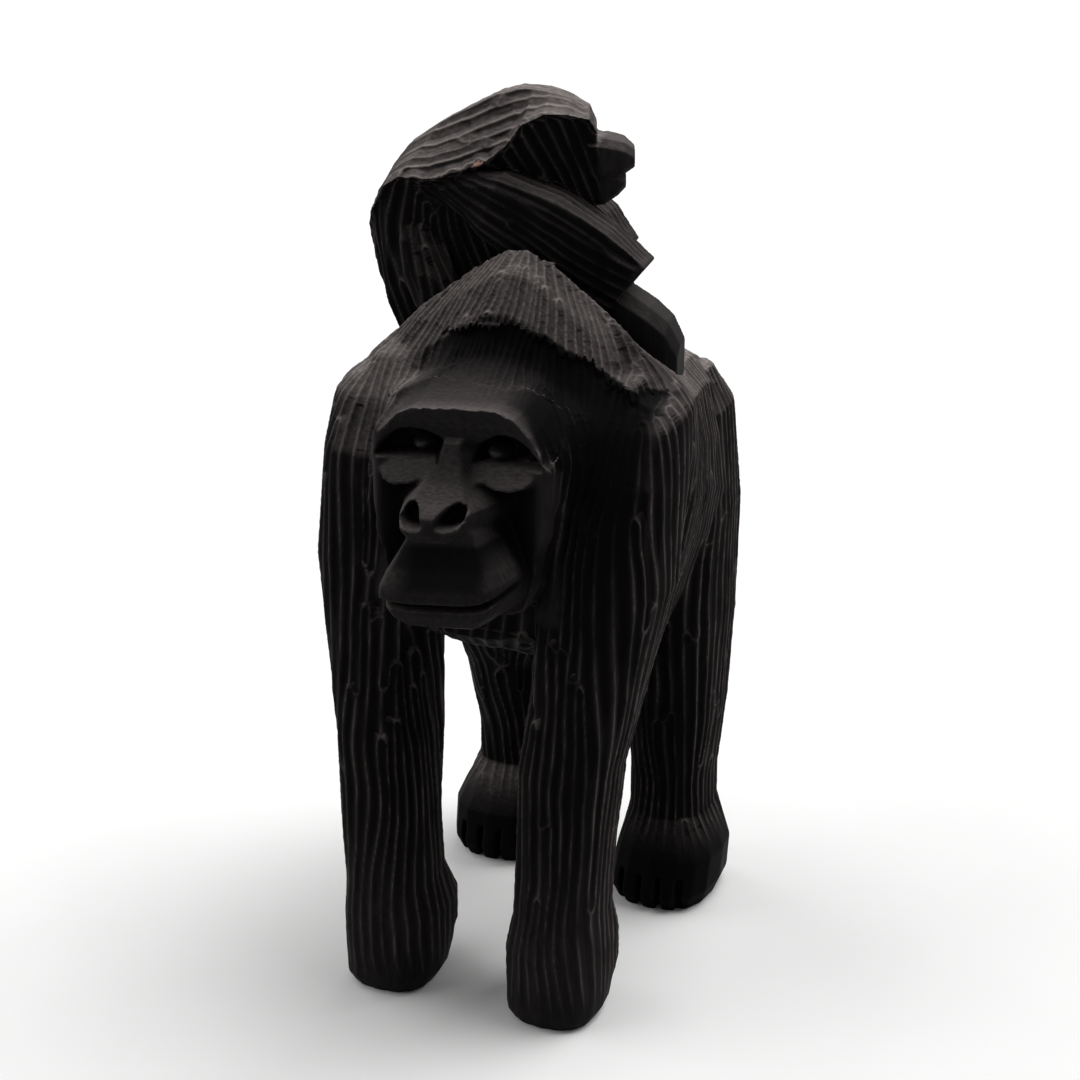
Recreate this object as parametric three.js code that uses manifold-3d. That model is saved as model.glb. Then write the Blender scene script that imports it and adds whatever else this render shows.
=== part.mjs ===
// A carved wooden gorilla that stands on its knuckles and feet, with its young lying across its back.
// Millimetres, +Z up. The face looks along -Y and the gorilla's left side is +X.
// The blank is glued up from blocks: head, trunk, four limbs and the young, joined by dowels.
import * as THREE from "three";
import { mergeVertices } from "three/addons/utils/BufferGeometryUtils.js";
import Module from "manifold-3d";

const wasm = await Module();
wasm.setup();

// Stance: where the hands and feet stand on the floor
const HAND_SPREAD = 60;
const HAND_FORWARD = 47;
const FOOT_SPREAD = 68;
const LEFT_FOOT_BACK = 50;
const RIGHT_FOOT_BACK = 61;

// Adult body: heights, half widths and reach of the main masses
const SHOULDER_HEIGHT = 207;
const SHOULDER_HALF_WIDTH = 61;
const CREST_HEIGHT = 246;
const CREST_HALF_WIDTH = 10;
const CREST_FORWARD = 8;
const CREST_DROP = 17;
const BACK_HEIGHT = 214;
const HIP_HEIGHT = 198;
const HIP_HALF_WIDTH = 53;
const RUMP_BACK = 84;
const BELLY_HEIGHT = 98;
const CHEST_FORWARD = 46;
const CHEST_HEIGHT = 124;
const FLANK_HEIGHT = 165;

// Limbs: half widths, half depths and the heights of the joints
const HAND_HALF_WIDTH = 17;
const HAND_HALF_DEPTH = 22;
const WRIST_HALF_WIDTH = 15;
const WRIST_HALF_DEPTH = 18.5;
const WRIST_HEIGHT = 38;
const ELBOW_HEIGHT = 118;
const UPPER_ARM_HALF_WIDTH = 19;
const UPPER_ARM_HALF_DEPTH = 22;
const FOOT_HALF_WIDTH = 19.5;
const FOOT_HALF_LENGTH = 24;
const ANKLE_HALF_WIDTH = 14.5;
const ANKLE_HALF_DEPTH = 18;
const ANKLE_HEIGHT = 38;
const LEFT_ANKLE_BACK = 2;
const RIGHT_ANKLE_BACK = 8;
const KNEE_HEIGHT = 76;
const THIGH_HALF_WIDTH = 20;
const THIGH_HALF_DEPTH = 28;
const THIGH_HEIGHT = 150;
const THIGH_BACK = 51;
const TOE_GROOVES = 4;
const TOE_PITCH = 7.2;
const TOE_GROOVE_WIDTH = 2.4;
const TOE_GROOVE_DEPTH = 7;
const TOE_GROOVE_HEIGHT = 13;

// Face
const BROW_HEIGHT = 209;
const BROW_FORWARD = 58;
const BROW_HALF_WIDTH = 29;
const BROW_THICKNESS = 9;
const EYE_HEIGHT = 197;
const EYE_SPACING = 25.6;
const EYE_RADIUS = 4.6;
const SHELF_HEIGHT = 189;
const SHELF_THICKNESS = 11;
const NOSE_HEIGHT = 184;
const NOSE_FORWARD = 78;
const NOSE_HALF_WIDTH = 12;
const NOSTRIL_SPACING = 16;
const MOUTH_HEIGHT = 153.5;
const MOUTH_HALF_WIDTH = 23;
const MOUTH_GAPE = 1.6;
const CHIN_HEIGHT = 143;

// The young: place and heading on the adult's back, and its main sizes above that back
const YOUNG_X = -14;
const YOUNG_Y = 19;
const YOUNG_TURN = 8;
const YOUNG_HALF_WIDTH = 20;
const YOUNG_HALF_HEIGHT = 29;
const YOUNG_BELLY_HALF_HEIGHT = 22;
const YOUNG_RUMP_REACH = 48;
const YOUNG_BACK_HEIGHT = 70;
const YOUNG_HEAD_TOP = 83;
const YOUNG_HEAD_HALF_WIDTH = 17;
const YOUNG_HEAD_HALF_HEIGHT = 17.5;
const YOUNG_HEAD_LENGTH = 52;
const YOUNG_MUZZLE_REACH = 38;
const YOUNG_ARM_RADIUS = 12;
const YOUNG_SHOULDER_HEIGHT = 45;
const YOUNG_LEFT_HAND_REACH = 34;
const YOUNG_RIGHT_HAND_REACH = 51;
const CHAMFER = 2.2;
const YOUNG_LEG_RADIUS = 11;
const YOUNG_HIP_HEIGHT = 36;

// Glue-up: faces between the blocks, dowels, and the clearance between glued faces
const SHOULDER_FACE = 38;
const NECK_FACE = 25;
const THROAT_FACE = CHIN_HEIGHT - 9;
const WAIST_FACE = 5;
const BELLY_MARGIN = 2;
const ARMPIT_FACE = BELLY_HEIGHT + BELLY_MARGIN;
const GROIN_FACE = BELLY_HEIGHT - BELLY_MARGIN;
const GLUE_GAP = 0.3;
const DOWEL_RADIUS = 4;
const DOWEL_LENGTH = 30;
const DOWEL_INSET = 6;
const DOWEL_PITCH = 34;
const YOUNG_NECK_FACE = -9;
const YOUNG_THROAT_FACE = 45;
const YOUNG_DOWEL_RADIUS = 2.5;
const YOUNG_DOWEL_LENGTH = 12;

// Sampling of the carved skins
const SKIN_SIDES = 26;
const LIMB_SIDES = 16;
const DOWEL_SIDES = 12;

// Further than the figure reaches, for blocks that are open on a side
const FAR = 1000;

const X_AXIS = new THREE.Vector3(1, 0, 0);
const Y_AXIS = new THREE.Vector3(0, 1, 0);
const Z_AXIS = new THREE.Vector3(0, 0, 1);
const SIDES = { left: 1, right: -1 };

// A closed mesh as a solid for cutting and joining
function solidOf(geometry) {
  const bare = new THREE.BufferGeometry();
  bare.setAttribute("position", geometry.getAttribute("position"));
  if (geometry.index) bare.setIndex(geometry.index);
  const merged = mergeVertices(bare, 1e-4);
  const vertProperties = new Float32Array(merged.attributes.position.array);
  const triVerts = new Uint32Array(merged.index.array);
  return new wasm.Manifold(new wasm.Mesh({ numProp: 3, vertProperties, triVerts }));
}

function geometryOf(solid) {
  const mesh = solid.getMesh();
  const geometry = new THREE.BufferGeometry();
  const positions = new Float32Array(mesh.vertProperties);
  geometry.setAttribute("position", new THREE.BufferAttribute(positions, 3));
  geometry.setIndex(new THREE.BufferAttribute(new Uint32Array(mesh.triVerts), 1));
  geometry.computeVertexNormals();
  return geometry;
}

function joined(solids) {
  return solids.reduce((all, solid) => all.add(solid));
}

function mirrored(solid, side) {
  return side > 0 ? solid : solid.mirror([1, 0, 0]);
}

// Joins rings of equal count into one closed skin, with a fan over each end
function skin(rings) {
  const count = rings[0].length;
  const points = rings.flat();
  const faces = [];
  for (let r = 0; r + 1 < rings.length; r++) {
    for (let i = 0; i < count; i++) {
      const a = r * count + i;
      const b = r * count + ((i + 1) % count);
      faces.push([a, b, a + count], [b, b + count, a + count]);
    }
  }
  const addCap = (first, forward) => {
    const middle = new THREE.Vector3();
    for (let i = 0; i < count; i++) middle.addScaledVector(points[first + i], 1 / count);
    const hub = points.push(middle) - 1;
    for (let i = 0; i < count; i++) {
      const a = first + i;
      const b = first + ((i + 1) % count);
      faces.push(forward ? [hub, a, b] : [hub, b, a]);
    }
  };
  addCap(0, false);
  addCap((rings.length - 1) * count, true);
  const build = (list) => {
    const geometry = new THREE.BufferGeometry().setFromPoints(points);
    geometry.setIndex(list.flat());
    return solidOf(geometry);
  };
  const solid = build(faces);
  return solid.volume() > 0 ? solid : build(faces.map(([a, b, c]) => [a, c, b]));
}

function spline(points, closed, tension) {
  return new THREE.CatmullRomCurve3(points, closed, "catmullrom", tension);
}

// Splines each point of the rings along the body
function loft(rings, tension, stepsEach) {
  const steps = (rings.length - 1) * stepsEach;
  const rows = rings[0].map((_, i) => spline(rings.map((ring) => ring[i]), false, tension));
  const ringAt = (step) => rows.map((row) => row.getPoint(step / steps));
  return skin(Array.from({ length: steps + 1 }, (_, step) => ringAt(step)));
}

// Superellipse ring; across and deep are its half-axis vectors
function roundRing(centre, across, deep, square) {
  const bend = (value) => Math.sign(value) * Math.abs(value) ** (2 / square);
  return Array.from({ length: LIMB_SIDES }, (_, i) => {
    const turn = (2 * Math.PI * i) / LIMB_SIDES;
    const point = centre.clone().addScaledVector(across, bend(Math.cos(turn)));
    return point.addScaledVector(deep, bend(Math.sin(turn)));
  });
}

// Upright mass: level sections at heights z
function column(stations, { grow = 0, square = 2.6 } = {}) {
  const rings = stations.map(({ x = 0, y, z, wide, deep }) => {
    const across = new THREE.Vector3(wide + grow, 0, 0);
    return roundRing(new THREE.Vector3(x, y, z), across, new THREE.Vector3(0, deep + grow, 0), square);
  });
  return skin(rings);
}

// Mass along a path: wide is level and high stands across it
// Its sections are square to the path, or all square to one heading
function tube(stations, { grow = 0, square = 2.4, heading = null } = {}) {
  const middles = stations.map(({ at }) => new THREE.Vector3(...at));
  const rings = stations.map(({ wide, high }, i) => {
    const before = middles[Math.max(i - 1, 0)];
    const after = middles[Math.min(i + 1, middles.length - 1)];
    const along = (heading ?? after.clone().sub(before)).clone().normalize();
    const across = Z_AXIS.clone().cross(along).normalize();
    const up = along.clone().cross(across);
    const centre = middles[i].clone();
    if (i === 0) centre.addScaledVector(along, -grow);
    if (i === middles.length - 1) centre.addScaledVector(along, grow);
    return roundRing(centre, across.multiplyScalar(wide + grow), up.multiplyScalar(high + grow), square);
  });
  return skin(rings);
}

// Chamfered bar beside the body along a path of [x, z] places
// Up and down stand across the path, and inner and outer are its faces towards and away from the body
function strap(stations, side, grow = 0) {
  const path = stations.map(({ at }) => new THREE.Vector2(...at));
  const last = path.length - 1;
  const rings = stations.map(({ up, down, inner, outer }, i) => {
    const along = path[Math.min(i + 1, last)].clone().sub(path[Math.max(i - 1, 0)]).normalize();
    const over = new THREE.Vector2(-along.y, along.x);
    const centre = path[i].clone();
    if (i === 0) centre.addScaledVector(along, -grow);
    if (i === last) centre.addScaledVector(along, grow);
    const corners = [
      [outer - CHAMFER, up], [outer, up - 2 * CHAMFER], [outer, 2 * CHAMFER - down], [outer - CHAMFER, -down],
      [inner, -down], [inner, up],
    ];
    return corners.map(([y, high]) => {
      const place = centre.clone().addScaledVector(over, high + Math.sign(high) * grow);
      return new THREE.Vector3(place.x, side * (y + (y > inner ? grow : -grow)), place.y);
    });
  });
  return skin(rings);
}

// The same mass reaching out from the middle plane to both sides
function beam(stations, options) {
  const flipped = stations.filter(({ at }) => at[0] > 0).reverse();
  const mirror = ({ at: [x, y, z], wide, high }) => ({ at: [-x, y, z], wide, high });
  return tube([...flipped.map(mirror), ...stations], options);
}

// Section across the body; the five [x, z] points of its left half are mirrored to the right
function bodyRing({ y, top, eave, flank, loin, keel }, grow, tension) {
  const half = [top, eave, flank, loin, keel];
  const left = half.map(([x, z]) => new THREE.Vector3(x, y, z));
  const right = half.map(([x, z]) => new THREE.Vector3(-x, y, z)).reverse();
  const middle = new THREE.Vector3(0, y, (top[1] + keel[1]) / 2);
  const controls = [...left, ...right].map((point) => {
    const outward = point.clone().sub(middle).normalize();
    return point.addScaledVector(outward, grow);
  });
  const ring = spline(controls, true, tension);
  return Array.from({ length: SKIN_SIDES }, (_, i) => ring.getPoint(i / SKIN_SIDES));
}

function bodySkin(sections, { grow = 0, tension = 0.35, stepsEach = 2 } = {}) {
  return loft(sections.map((section) => bodyRing(section, grow, tension)), tension, stepsEach);
}

// A block between two corners
function block([x0, y0, z0], [x1, y1, z1]) {
  const box = new THREE.BoxGeometry(x1 - x0, y1 - y0, z1 - z0);
  return solidOf(box.translate((x0 + x1) / 2, (y0 + y1) / 2, (z0 + z1) / 2));
}

// An egg-shaped tool for hollows and beads
function egg([x, y, z], [rx, ry, rz], lean = 0) {
  const ball = new THREE.SphereGeometry(1, 16, 9).scale(rx, ry, rz);
  return solidOf(ball.rotateY(lean).translate(x, y, z));
}

// A dowel about its middle, or with a gap the hole drilled for it
function dowel({ at, along, radius, length }, gap = 0) {
  const rod = new THREE.CylinderGeometry(radius + gap, radius + gap, length + 2 * gap, DOWEL_SIDES);
  const turn = new THREE.Quaternion().setFromUnitVectors(Y_AXIS, along);
  return solidOf(rod.applyQuaternion(turn).translate(...at));
}

// Chest, crest of hair over the shoulders, back, rump and belly
function trunkMass(grow = 0) {
  const ridge = CREST_HALF_WIDTH;
  const eave = SHOULDER_HALF_WIDTH - 4;
  const rib = SHOULDER_HALF_WIDTH - 5;
  const hip = HIP_HALF_WIDTH;
  const loin = HIP_HALF_WIDTH - 13;
  const chest = CHEST_HEIGHT;
  const belly = BELLY_HEIGHT;
  const back = BACK_HEIGHT;
  const shoulder = SHOULDER_HEIGHT;
  const rump = HIP_HEIGHT;
  const flank = FLANK_HEIGHT;
  return bodySkin([
    { y: -CHEST_FORWARD - 2, top: [ridge, flank + 11], eave: [eave - 23, flank + 9],
      flank: [rib - 18, flank - 7], loin: [loin - 14, chest + 14], keel: [10, chest + 7] },
    { y: -CHEST_FORWARD + 8, top: [ridge + 2, shoulder - 11], eave: [eave - 11, shoulder - 15],
      flank: [rib - 6, flank - 5], loin: [loin - 8, chest + 8], keel: [11, chest] },
    { y: -NECK_FACE, top: [ridge, CREST_HEIGHT - CREST_DROP], eave: [eave - 4, shoulder - 11],
      flank: [rib - 2, flank + 5], loin: [loin - 4, chest + 6], keel: [11, chest - 3] },
    { y: -CREST_FORWARD, top: [ridge, CREST_HEIGHT], eave: [eave, shoulder],
      flank: [rib, flank + 5], loin: [loin - 2, chest - 2], keel: [12, chest - 12] },
    { y: -CREST_FORWARD + 12, top: [ridge + 4, back + 6], eave: [eave - 3, shoulder],
      flank: [rib, flank], loin: [loin, belly + 18], keel: [13, belly + 6] },
    { y: WAIST_FACE + 13, top: [ridge + 5, back], eave: [eave - 7, shoulder - 3],
      flank: [rib - 1, flank], loin: [loin, belly + 16], keel: [13, belly + 2] },
    { y: RUMP_BACK - 44, top: [ridge + 6, back - 2], eave: [hip - 8, rump + 3],
      flank: [hip, flank - 7], loin: [loin, belly + 14], keel: [13, belly] },
    { y: RUMP_BACK - 22, top: [ridge + 4, rump + 8], eave: [hip - 13, rump - 3],
      flank: [hip - 3, flank - 15], loin: [loin - 4, belly + 12], keel: [12, belly + 5] },
    { y: RUMP_BACK - 7, top: [11, rump - 7], eave: [hip - 22, rump - 18],
      flank: [hip - 14, flank - 20], loin: [loin - 13, belly + 18], keel: [10, belly + 14] },
    { y: RUMP_BACK, top: [6, rump - 28], eave: [17, rump - 34],
      flank: [20, flank - 17], loin: [14, belly + 34], keel: [5, belly + 30] },
  ], { grow });
}

// Knuckled hand with its heel turned back, wrist, elbow and shoulder
function armMass(side, grow = 0) {
  const hand = side * (HAND_SPREAD / 2);
  const front = -HAND_FORWARD;
  const elbow = side * (SHOULDER_HALF_WIDTH - 24);
  const shoulder = side * (SHOULDER_HALF_WIDTH - UPPER_ARM_HALF_WIDTH);
  const heel = { wide: HAND_HALF_WIDTH, deep: HAND_HALF_DEPTH };
  const wrist = { wide: WRIST_HALF_WIDTH, deep: WRIST_HALF_DEPTH };
  const forearm = { wide: WRIST_HALF_WIDTH + 1, deep: WRIST_HALF_DEPTH + 1.5 };
  const bend = { wide: UPPER_ARM_HALF_WIDTH - 1.5, deep: UPPER_ARM_HALF_DEPTH - 1 };
  const upper = { wide: UPPER_ARM_HALF_WIDTH, deep: UPPER_ARM_HALF_DEPTH };
  return column([
    { x: hand, y: front - 1, z: 0, wide: heel.wide - 3.5, deep: heel.deep - 8.5 },
    { x: hand, y: front, z: 4, wide: heel.wide - 1, deep: heel.deep - 5 },
    { x: hand, y: front + 4, z: WRIST_HEIGHT - 22, ...heel },
    { x: hand, y: front + 4, z: WRIST_HEIGHT - 12, ...heel },
    { x: hand + side, y: front + 2, z: WRIST_HEIGHT, ...wrist },
    { x: hand + side * 2, y: front + 2, z: WRIST_HEIGHT + 22, ...wrist },
    { x: hand + side * 3, y: front + 5, z: ELBOW_HEIGHT - 28, ...forearm },
    { x: elbow, y: front + 11, z: ELBOW_HEIGHT, ...bend },
    { x: shoulder, y: front + 18, z: ELBOW_HEIGHT + 32, ...upper },
    { x: shoulder, y: front + 25, z: SHOULDER_HEIGHT - 22, ...upper },
    { x: shoulder, y: front + 30, z: SHOULDER_HEIGHT - 5, wide: upper.wide - 1, deep: upper.deep - 4 },
    { x: shoulder, y: front + 32, z: SHOULDER_HEIGHT + 1, wide: upper.wide - 6, deep: upper.deep - 8 },
  ], { grow });
}

// Foot with grooves between the toes, ankle, knee and thigh
function legMass(side, back, ankleBack) {
  const foot = side * (FOOT_SPREAD / 2);
  const hip = side * (HIP_HALF_WIDTH - THIGH_HALF_WIDTH);
  const instep = { wide: FOOT_HALF_WIDTH - 0.5, deep: FOOT_HALF_LENGTH - 2 };
  const ankle = { wide: ANKLE_HALF_WIDTH, deep: ANKLE_HALF_DEPTH };
  const thigh = { wide: THIGH_HALF_WIDTH, deep: THIGH_HALF_DEPTH };
  const front = back - 2;
  const mass = column([
    { x: foot, y: front, z: 0, wide: FOOT_HALF_WIDTH - 2.5, deep: FOOT_HALF_LENGTH - 3 },
    { x: foot, y: front, z: 6, wide: FOOT_HALF_WIDTH, deep: FOOT_HALF_LENGTH },
    { x: foot + side, y: back, z: ANKLE_HEIGHT - 20, ...instep },
    { x: foot, y: back + ankleBack, z: ANKLE_HEIGHT - 4, ...ankle },
    { x: foot, y: back + ankleBack, z: ANKLE_HEIGHT + 10, ...ankle },
    { x: foot + side, y: back + ankleBack / 2, z: KNEE_HEIGHT, wide: ankle.wide + 2, deep: ankle.deep + 3 },
    { x: hip + side, y: THIGH_BACK - 1, z: THIGH_HEIGHT - 40, wide: thigh.wide - 1, deep: thigh.deep - 2 },
    { x: hip, y: THIGH_BACK, z: THIGH_HEIGHT, ...thigh },
    { x: hip, y: THIGH_BACK, z: HIP_HEIGHT - 14, wide: thigh.wide - 3, deep: thigh.deep - 3 },
    { x: hip, y: THIGH_BACK, z: HIP_HEIGHT, wide: thigh.wide - 10, deep: thigh.deep - 14 },
  ]);
  const toeTip = front - FOOT_HALF_LENGTH;
  const half = TOE_GROOVE_WIDTH / 2;
  const grooves = Array.from({ length: TOE_GROOVES }, (_, i) => {
    const x = foot + (i - (TOE_GROOVES - 1) / 2) * TOE_PITCH;
    return block([x - half, toeTip - 1, -1], [x + half, toeTip + TOE_GROOVE_DEPTH, TOE_GROOVE_HEIGHT]);
  });
  return mass.subtract(joined(grooves));
}

// Forehead that dips behind the brow, temples and jaw
function skullMass() {
  const front = -BROW_FORWARD;
  const side = BROW_HALF_WIDTH;
  const brow = BROW_HEIGHT;
  const cheek = NOSE_HEIGHT;
  const jaw = CHIN_HEIGHT;
  return bodySkin([
    { y: -NECK_FACE + 8, top: [9, brow + 15], eave: [side + 7, brow - 3],
      flank: [side + 11, cheek - 4], loin: [side + 3, jaw + 7], keel: [10, jaw - 5] },
    { y: -NECK_FACE - 5, top: [9, brow + 10], eave: [side + 4, brow - 3],
      flank: [side + 9, cheek - 2], loin: [side + 1, jaw + 7], keel: [10, jaw - 5] },
    { y: -NECK_FACE - 17, top: [9, brow + 4], eave: [side + 1, brow - 3],
      flank: [side + 5, cheek], loin: [side - 2, jaw + 7], keel: [9, jaw - 4] },
    { y: front + 3, top: [9, brow], eave: [side - 6, brow - 4],
      flank: [side - 1, cheek + 2], loin: [side - 6, jaw + 9], keel: [9, jaw - 1] },
    { y: front - 1, top: [7, brow - 8], eave: [side - 9, brow - 12],
      flank: [side - 6, cheek], loin: [side - 10, jaw + 13], keel: [7, jaw + 4] },
  ], { tension: 0.25, stepsEach: 1 });
}

function browMass() {
  const high = BROW_THICKNESS / 2;
  return beam([
    { at: [0, -BROW_FORWARD, BROW_HEIGHT - high], wide: 5, high },
    { at: [14, -BROW_FORWARD - 1, BROW_HEIGHT - high + 1], wide: 5, high },
    { at: [BROW_HALF_WIDTH - 6, -BROW_FORWARD, BROW_HEIGHT - high - 1.5], wide: 5, high },
    { at: [BROW_HALF_WIDTH, -BROW_FORWARD + 3, BROW_HEIGHT - high - 9.5], wide: 4.5, high: high - 1 },
  ]);
}

// Sloping shelf of the cheekbones under the eyes
function shelfMass() {
  const high = SHELF_THICKNESS / 2;
  return beam([
    { at: [0, -BROW_FORWARD - 4, SHELF_HEIGHT], wide: 7, high: high + 0.5 },
    { at: [12, -BROW_FORWARD - 1, SHELF_HEIGHT - 1], wide: 7, high },
    { at: [BROW_HALF_WIDTH - 8, -BROW_FORWARD, SHELF_HEIGHT], wide: 6, high: high - 1 },
    { at: [BROW_HALF_WIDTH, -BROW_FORWARD + 3, SHELF_HEIGHT + 4.5], wide: 4, high: high - 2.5 },
  ], { square: 2 });
}

function noseMass() {
  const tip = -NOSE_FORWARD;
  return column([
    { y: tip + 11, z: NOSE_HEIGHT - 12, wide: NOSE_HALF_WIDTH - 4, deep: 9 },
    { y: tip + 10, z: NOSE_HEIGHT - 7, wide: NOSE_HALF_WIDTH, deep: 10 },
    { y: tip + 10.5, z: NOSE_HEIGHT, wide: NOSE_HALF_WIDTH - 1, deep: 10 },
    { y: tip + 17, z: NOSE_HEIGHT + 7, wide: NOSE_HALF_WIDTH - 4, deep: 9.5 },
    { y: tip + 20, z: NOSE_HEIGHT + 14, wide: NOSE_HALF_WIDTH - 6.5, deep: 8 },
    { y: tip + 22, z: NOSE_HEIGHT + 20, wide: NOSE_HALF_WIDTH - 7, deep: 6 },
  ]);
}

// Jaw and lips, widest at the mouth, with the line of the mouth cut round the front
function muzzleMass() {
  const middle = -NOSE_FORWARD + 22;
  const lip = MOUTH_HEIGHT + 4;
  const wide = MOUTH_HALF_WIDTH;
  const square = 3;
  const mass = column([
    { y: middle + 1, z: CHIN_HEIGHT, wide: wide - 9, deep: 13 },
    { y: middle, z: CHIN_HEIGHT + 3, wide: wide - 4, deep: 17 },
    { y: middle, z: MOUTH_HEIGHT - 1, wide: wide - 0.5, deep: 18.5 },
    { y: middle, z: lip, wide, deep: 20 },
    { y: middle, z: lip + 8, wide: wide - 3, deep: 20.5 },
    { y: middle, z: lip + 17, wide: NOSE_HALF_WIDTH + 3, deep: 19 },
    { y: middle + 1, z: NOSE_HEIGHT + 2, wide: NOSE_HALF_WIDTH - 1, deep: 15 },
  ], { square });
  const slab = (z0, z1, inset) => column([
    { y: middle, z: z0, wide: wide - inset, deep: 20 - inset },
    { y: middle, z: z1, wide: wide - inset, deep: 20 - inset },
  ], { square });
  const gape = slab(MOUTH_HEIGHT - MOUTH_GAPE / 2, MOUTH_HEIGHT + MOUTH_GAPE / 2, -4);
  const kept = slab(MOUTH_HEIGHT - MOUTH_GAPE, MOUTH_HEIGHT + MOUTH_GAPE, 3.5);
  const behind = block([-FAR, middle - 6, -FAR], [FAR, FAR, FAR]);
  return mass.subtract(gape.subtract(kept).subtract(behind));
}

// Hollows of the eye sockets and nostrils
function faceHollows() {
  return Object.values(SIDES).flatMap((side) => [
    egg([side * (EYE_SPACING / 2 + 3), -BROW_FORWARD - 5, EYE_HEIGHT - 1], [13, 9, 4.4], side * -0.1),
    egg([side * (NOSTRIL_SPACING / 2), -NOSE_FORWARD + 1, NOSE_HEIGHT - 4], [3.8, 5, 2.4], side * 0.35),
  ]);
}

function eyeBead(side, gap = 0) {
  const radius = EYE_RADIUS + gap;
  return egg([side * (EYE_SPACING / 2), -BROW_FORWARD + 3.5, EYE_HEIGHT], [radius, radius, radius]);
}

// The young lies in its own frame: x along its heading, y to its left, z up from the adult's back
const youngFrame = new THREE.Matrix4()
  .makeTranslation(YOUNG_X, YOUNG_Y, BACK_HEIGHT)
  .multiply(new THREE.Matrix4().makeRotationZ(THREE.MathUtils.degToRad(YOUNG_TURN)));

function onBack(solid) {
  return solid.transform(youngFrame.toArray());
}

function youngTorso() {
  const wide = YOUNG_HALF_WIDTH;
  const high = YOUNG_HALF_HEIGHT;
  const rump = -YOUNG_RUMP_REACH;
  const middle = YOUNG_BACK_HEIGHT - high;
  const torso = tube([
    { at: [rump, 0, middle - 10], wide: wide - 10, high: high - 17 },
    { at: [rump + 5, 0, middle - 11], wide: wide - 3, high: high - 9 },
    { at: [rump + 15, 0, middle - 8], wide, high: high - 4 },
    { at: [rump + 30, 0, middle - 1], wide: wide + 1, high },
    { at: [rump + 42, 0, middle + 2], wide: wide + 1, high: high - 2 },
    { at: [rump + 56, 0, middle - 2], wide: wide - 3, high: high - 7 },
    { at: [rump + 66, 0, middle - 6], wide: wide - 9, high: high - 16 },
  ], { heading: X_AXIS, square: 2.8 });
  const deep = YOUNG_BELLY_HALF_HEIGHT;
  const belly = tube([
    { at: [rump + 9, 0, deep - 12], wide: wide - 6, high: deep - 4 },
    { at: [rump + 30, 0, deep - 12], wide: wide - 5, high: deep },
    { at: [rump + 56, 0, deep - 8], wide: wide - 6, high: deep + 4 },
  ], { heading: X_AXIS });
  return torso.add(belly);
}

function youngLeg(side) {
  const out = YOUNG_HALF_WIDTH;
  const hip = -YOUNG_RUMP_REACH + 15;
  const top = YOUNG_HIP_HEIGHT;
  const radius = YOUNG_LEG_RADIUS;
  return tube([
    { at: [hip, side * (out - 9), top], wide: radius, high: radius + 2 },
    { at: [hip + 4, side * (out - 5), top - 14], wide: radius + 1, high: radius + 1 },
    { at: [hip + 10, side * (out - 2), top - 28], wide: radius - 1, high: radius - 1 },
    { at: [hip + 16, side * out, top - 44], wide: radius - 3, high: radius - 3 },
  ]);
}

function youngHead() {
  const wide = YOUNG_HEAD_HALF_WIDTH;
  const high = YOUNG_HEAD_HALF_HEIGHT;
  const muzzle = YOUNG_MUZZLE_REACH;
  const nape = YOUNG_MUZZLE_REACH - YOUNG_HEAD_LENGTH;
  const middle = YOUNG_HEAD_TOP - high;
  return tube([
    { at: [nape, 0, middle - 1.5], wide: wide - 8, high: high - 7.5 },
    { at: [nape + 10, 0, middle - 0.5], wide: wide - 1, high: high - 0.5 },
    { at: [nape + 20, 0, middle - 0.5], wide, high },
    { at: [nape + 30, 0, middle - 1.5], wide: wide - 1, high: high - 2.5 },
    { at: [muzzle - 16, 0, middle - 2.5], wide: wide - 3, high: high - 4.5 },
    { at: [muzzle - 13, 0, middle - 7.5], wide: wide - 6, high: high - 6.5 },
    { at: [muzzle - 6, 0, middle - 8.5], wide: wide - 7, high: high - 7.5 },
    { at: [muzzle, 0, middle - 9], wide: wide - 10, high: high - 11 },
  ], { heading: X_AXIS });
}

// Sleeve of the arm, then the smooth hand that grips the adult's shoulder
function youngArm(side, reach, grow = 0) {
  const radius = YOUNG_ARM_RADIUS;
  const out = YOUNG_HALF_WIDTH;
  const shoulder = YOUNG_SHOULDER_HEIGHT;
  const inner = out - 12;
  const sleeve = strap([
    { at: [-0.2 * reach, shoulder + 8], up: radius - 7, down: radius - 7, inner, outer: out + 1 },
    { at: [-0.05 * reach, shoulder + 2], up: radius - 1, down: radius - 1, inner, outer: out + 5.5 },
    { at: [0.3 * reach, shoulder - 5], up: radius, down: radius + 2, inner, outer: out + 6.5 },
    { at: [0.6 * reach, shoulder - 14], up: radius, down: radius + 6, inner, outer: out + 6 },
    { at: [0.83 * reach, shoulder - 23.5], up: radius - 1, down: radius + 5, inner, outer: out + 5 },
  ], side, grow);
  const hand = strap([
    { at: [0.75 * reach, shoulder - 20], up: radius - 5, down: radius - 3, inner, outer: out + 3.6 },
    { at: [0.96 * reach, shoulder - 31], up: radius - 4.4, down: radius, inner, outer: out + 4 },
    { at: [1.09 * reach, shoulder - 38], up: radius - 4.8, down: radius - 2, inner, outer: out + 3.4 },
    { at: [1.18 * reach, shoulder - 44.5], up: radius - 7, down: radius - 5, inner: inner + 1, outer: out + 0.5 },
  ], side, grow);
  return sleeve.add(hand);
}

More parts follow.
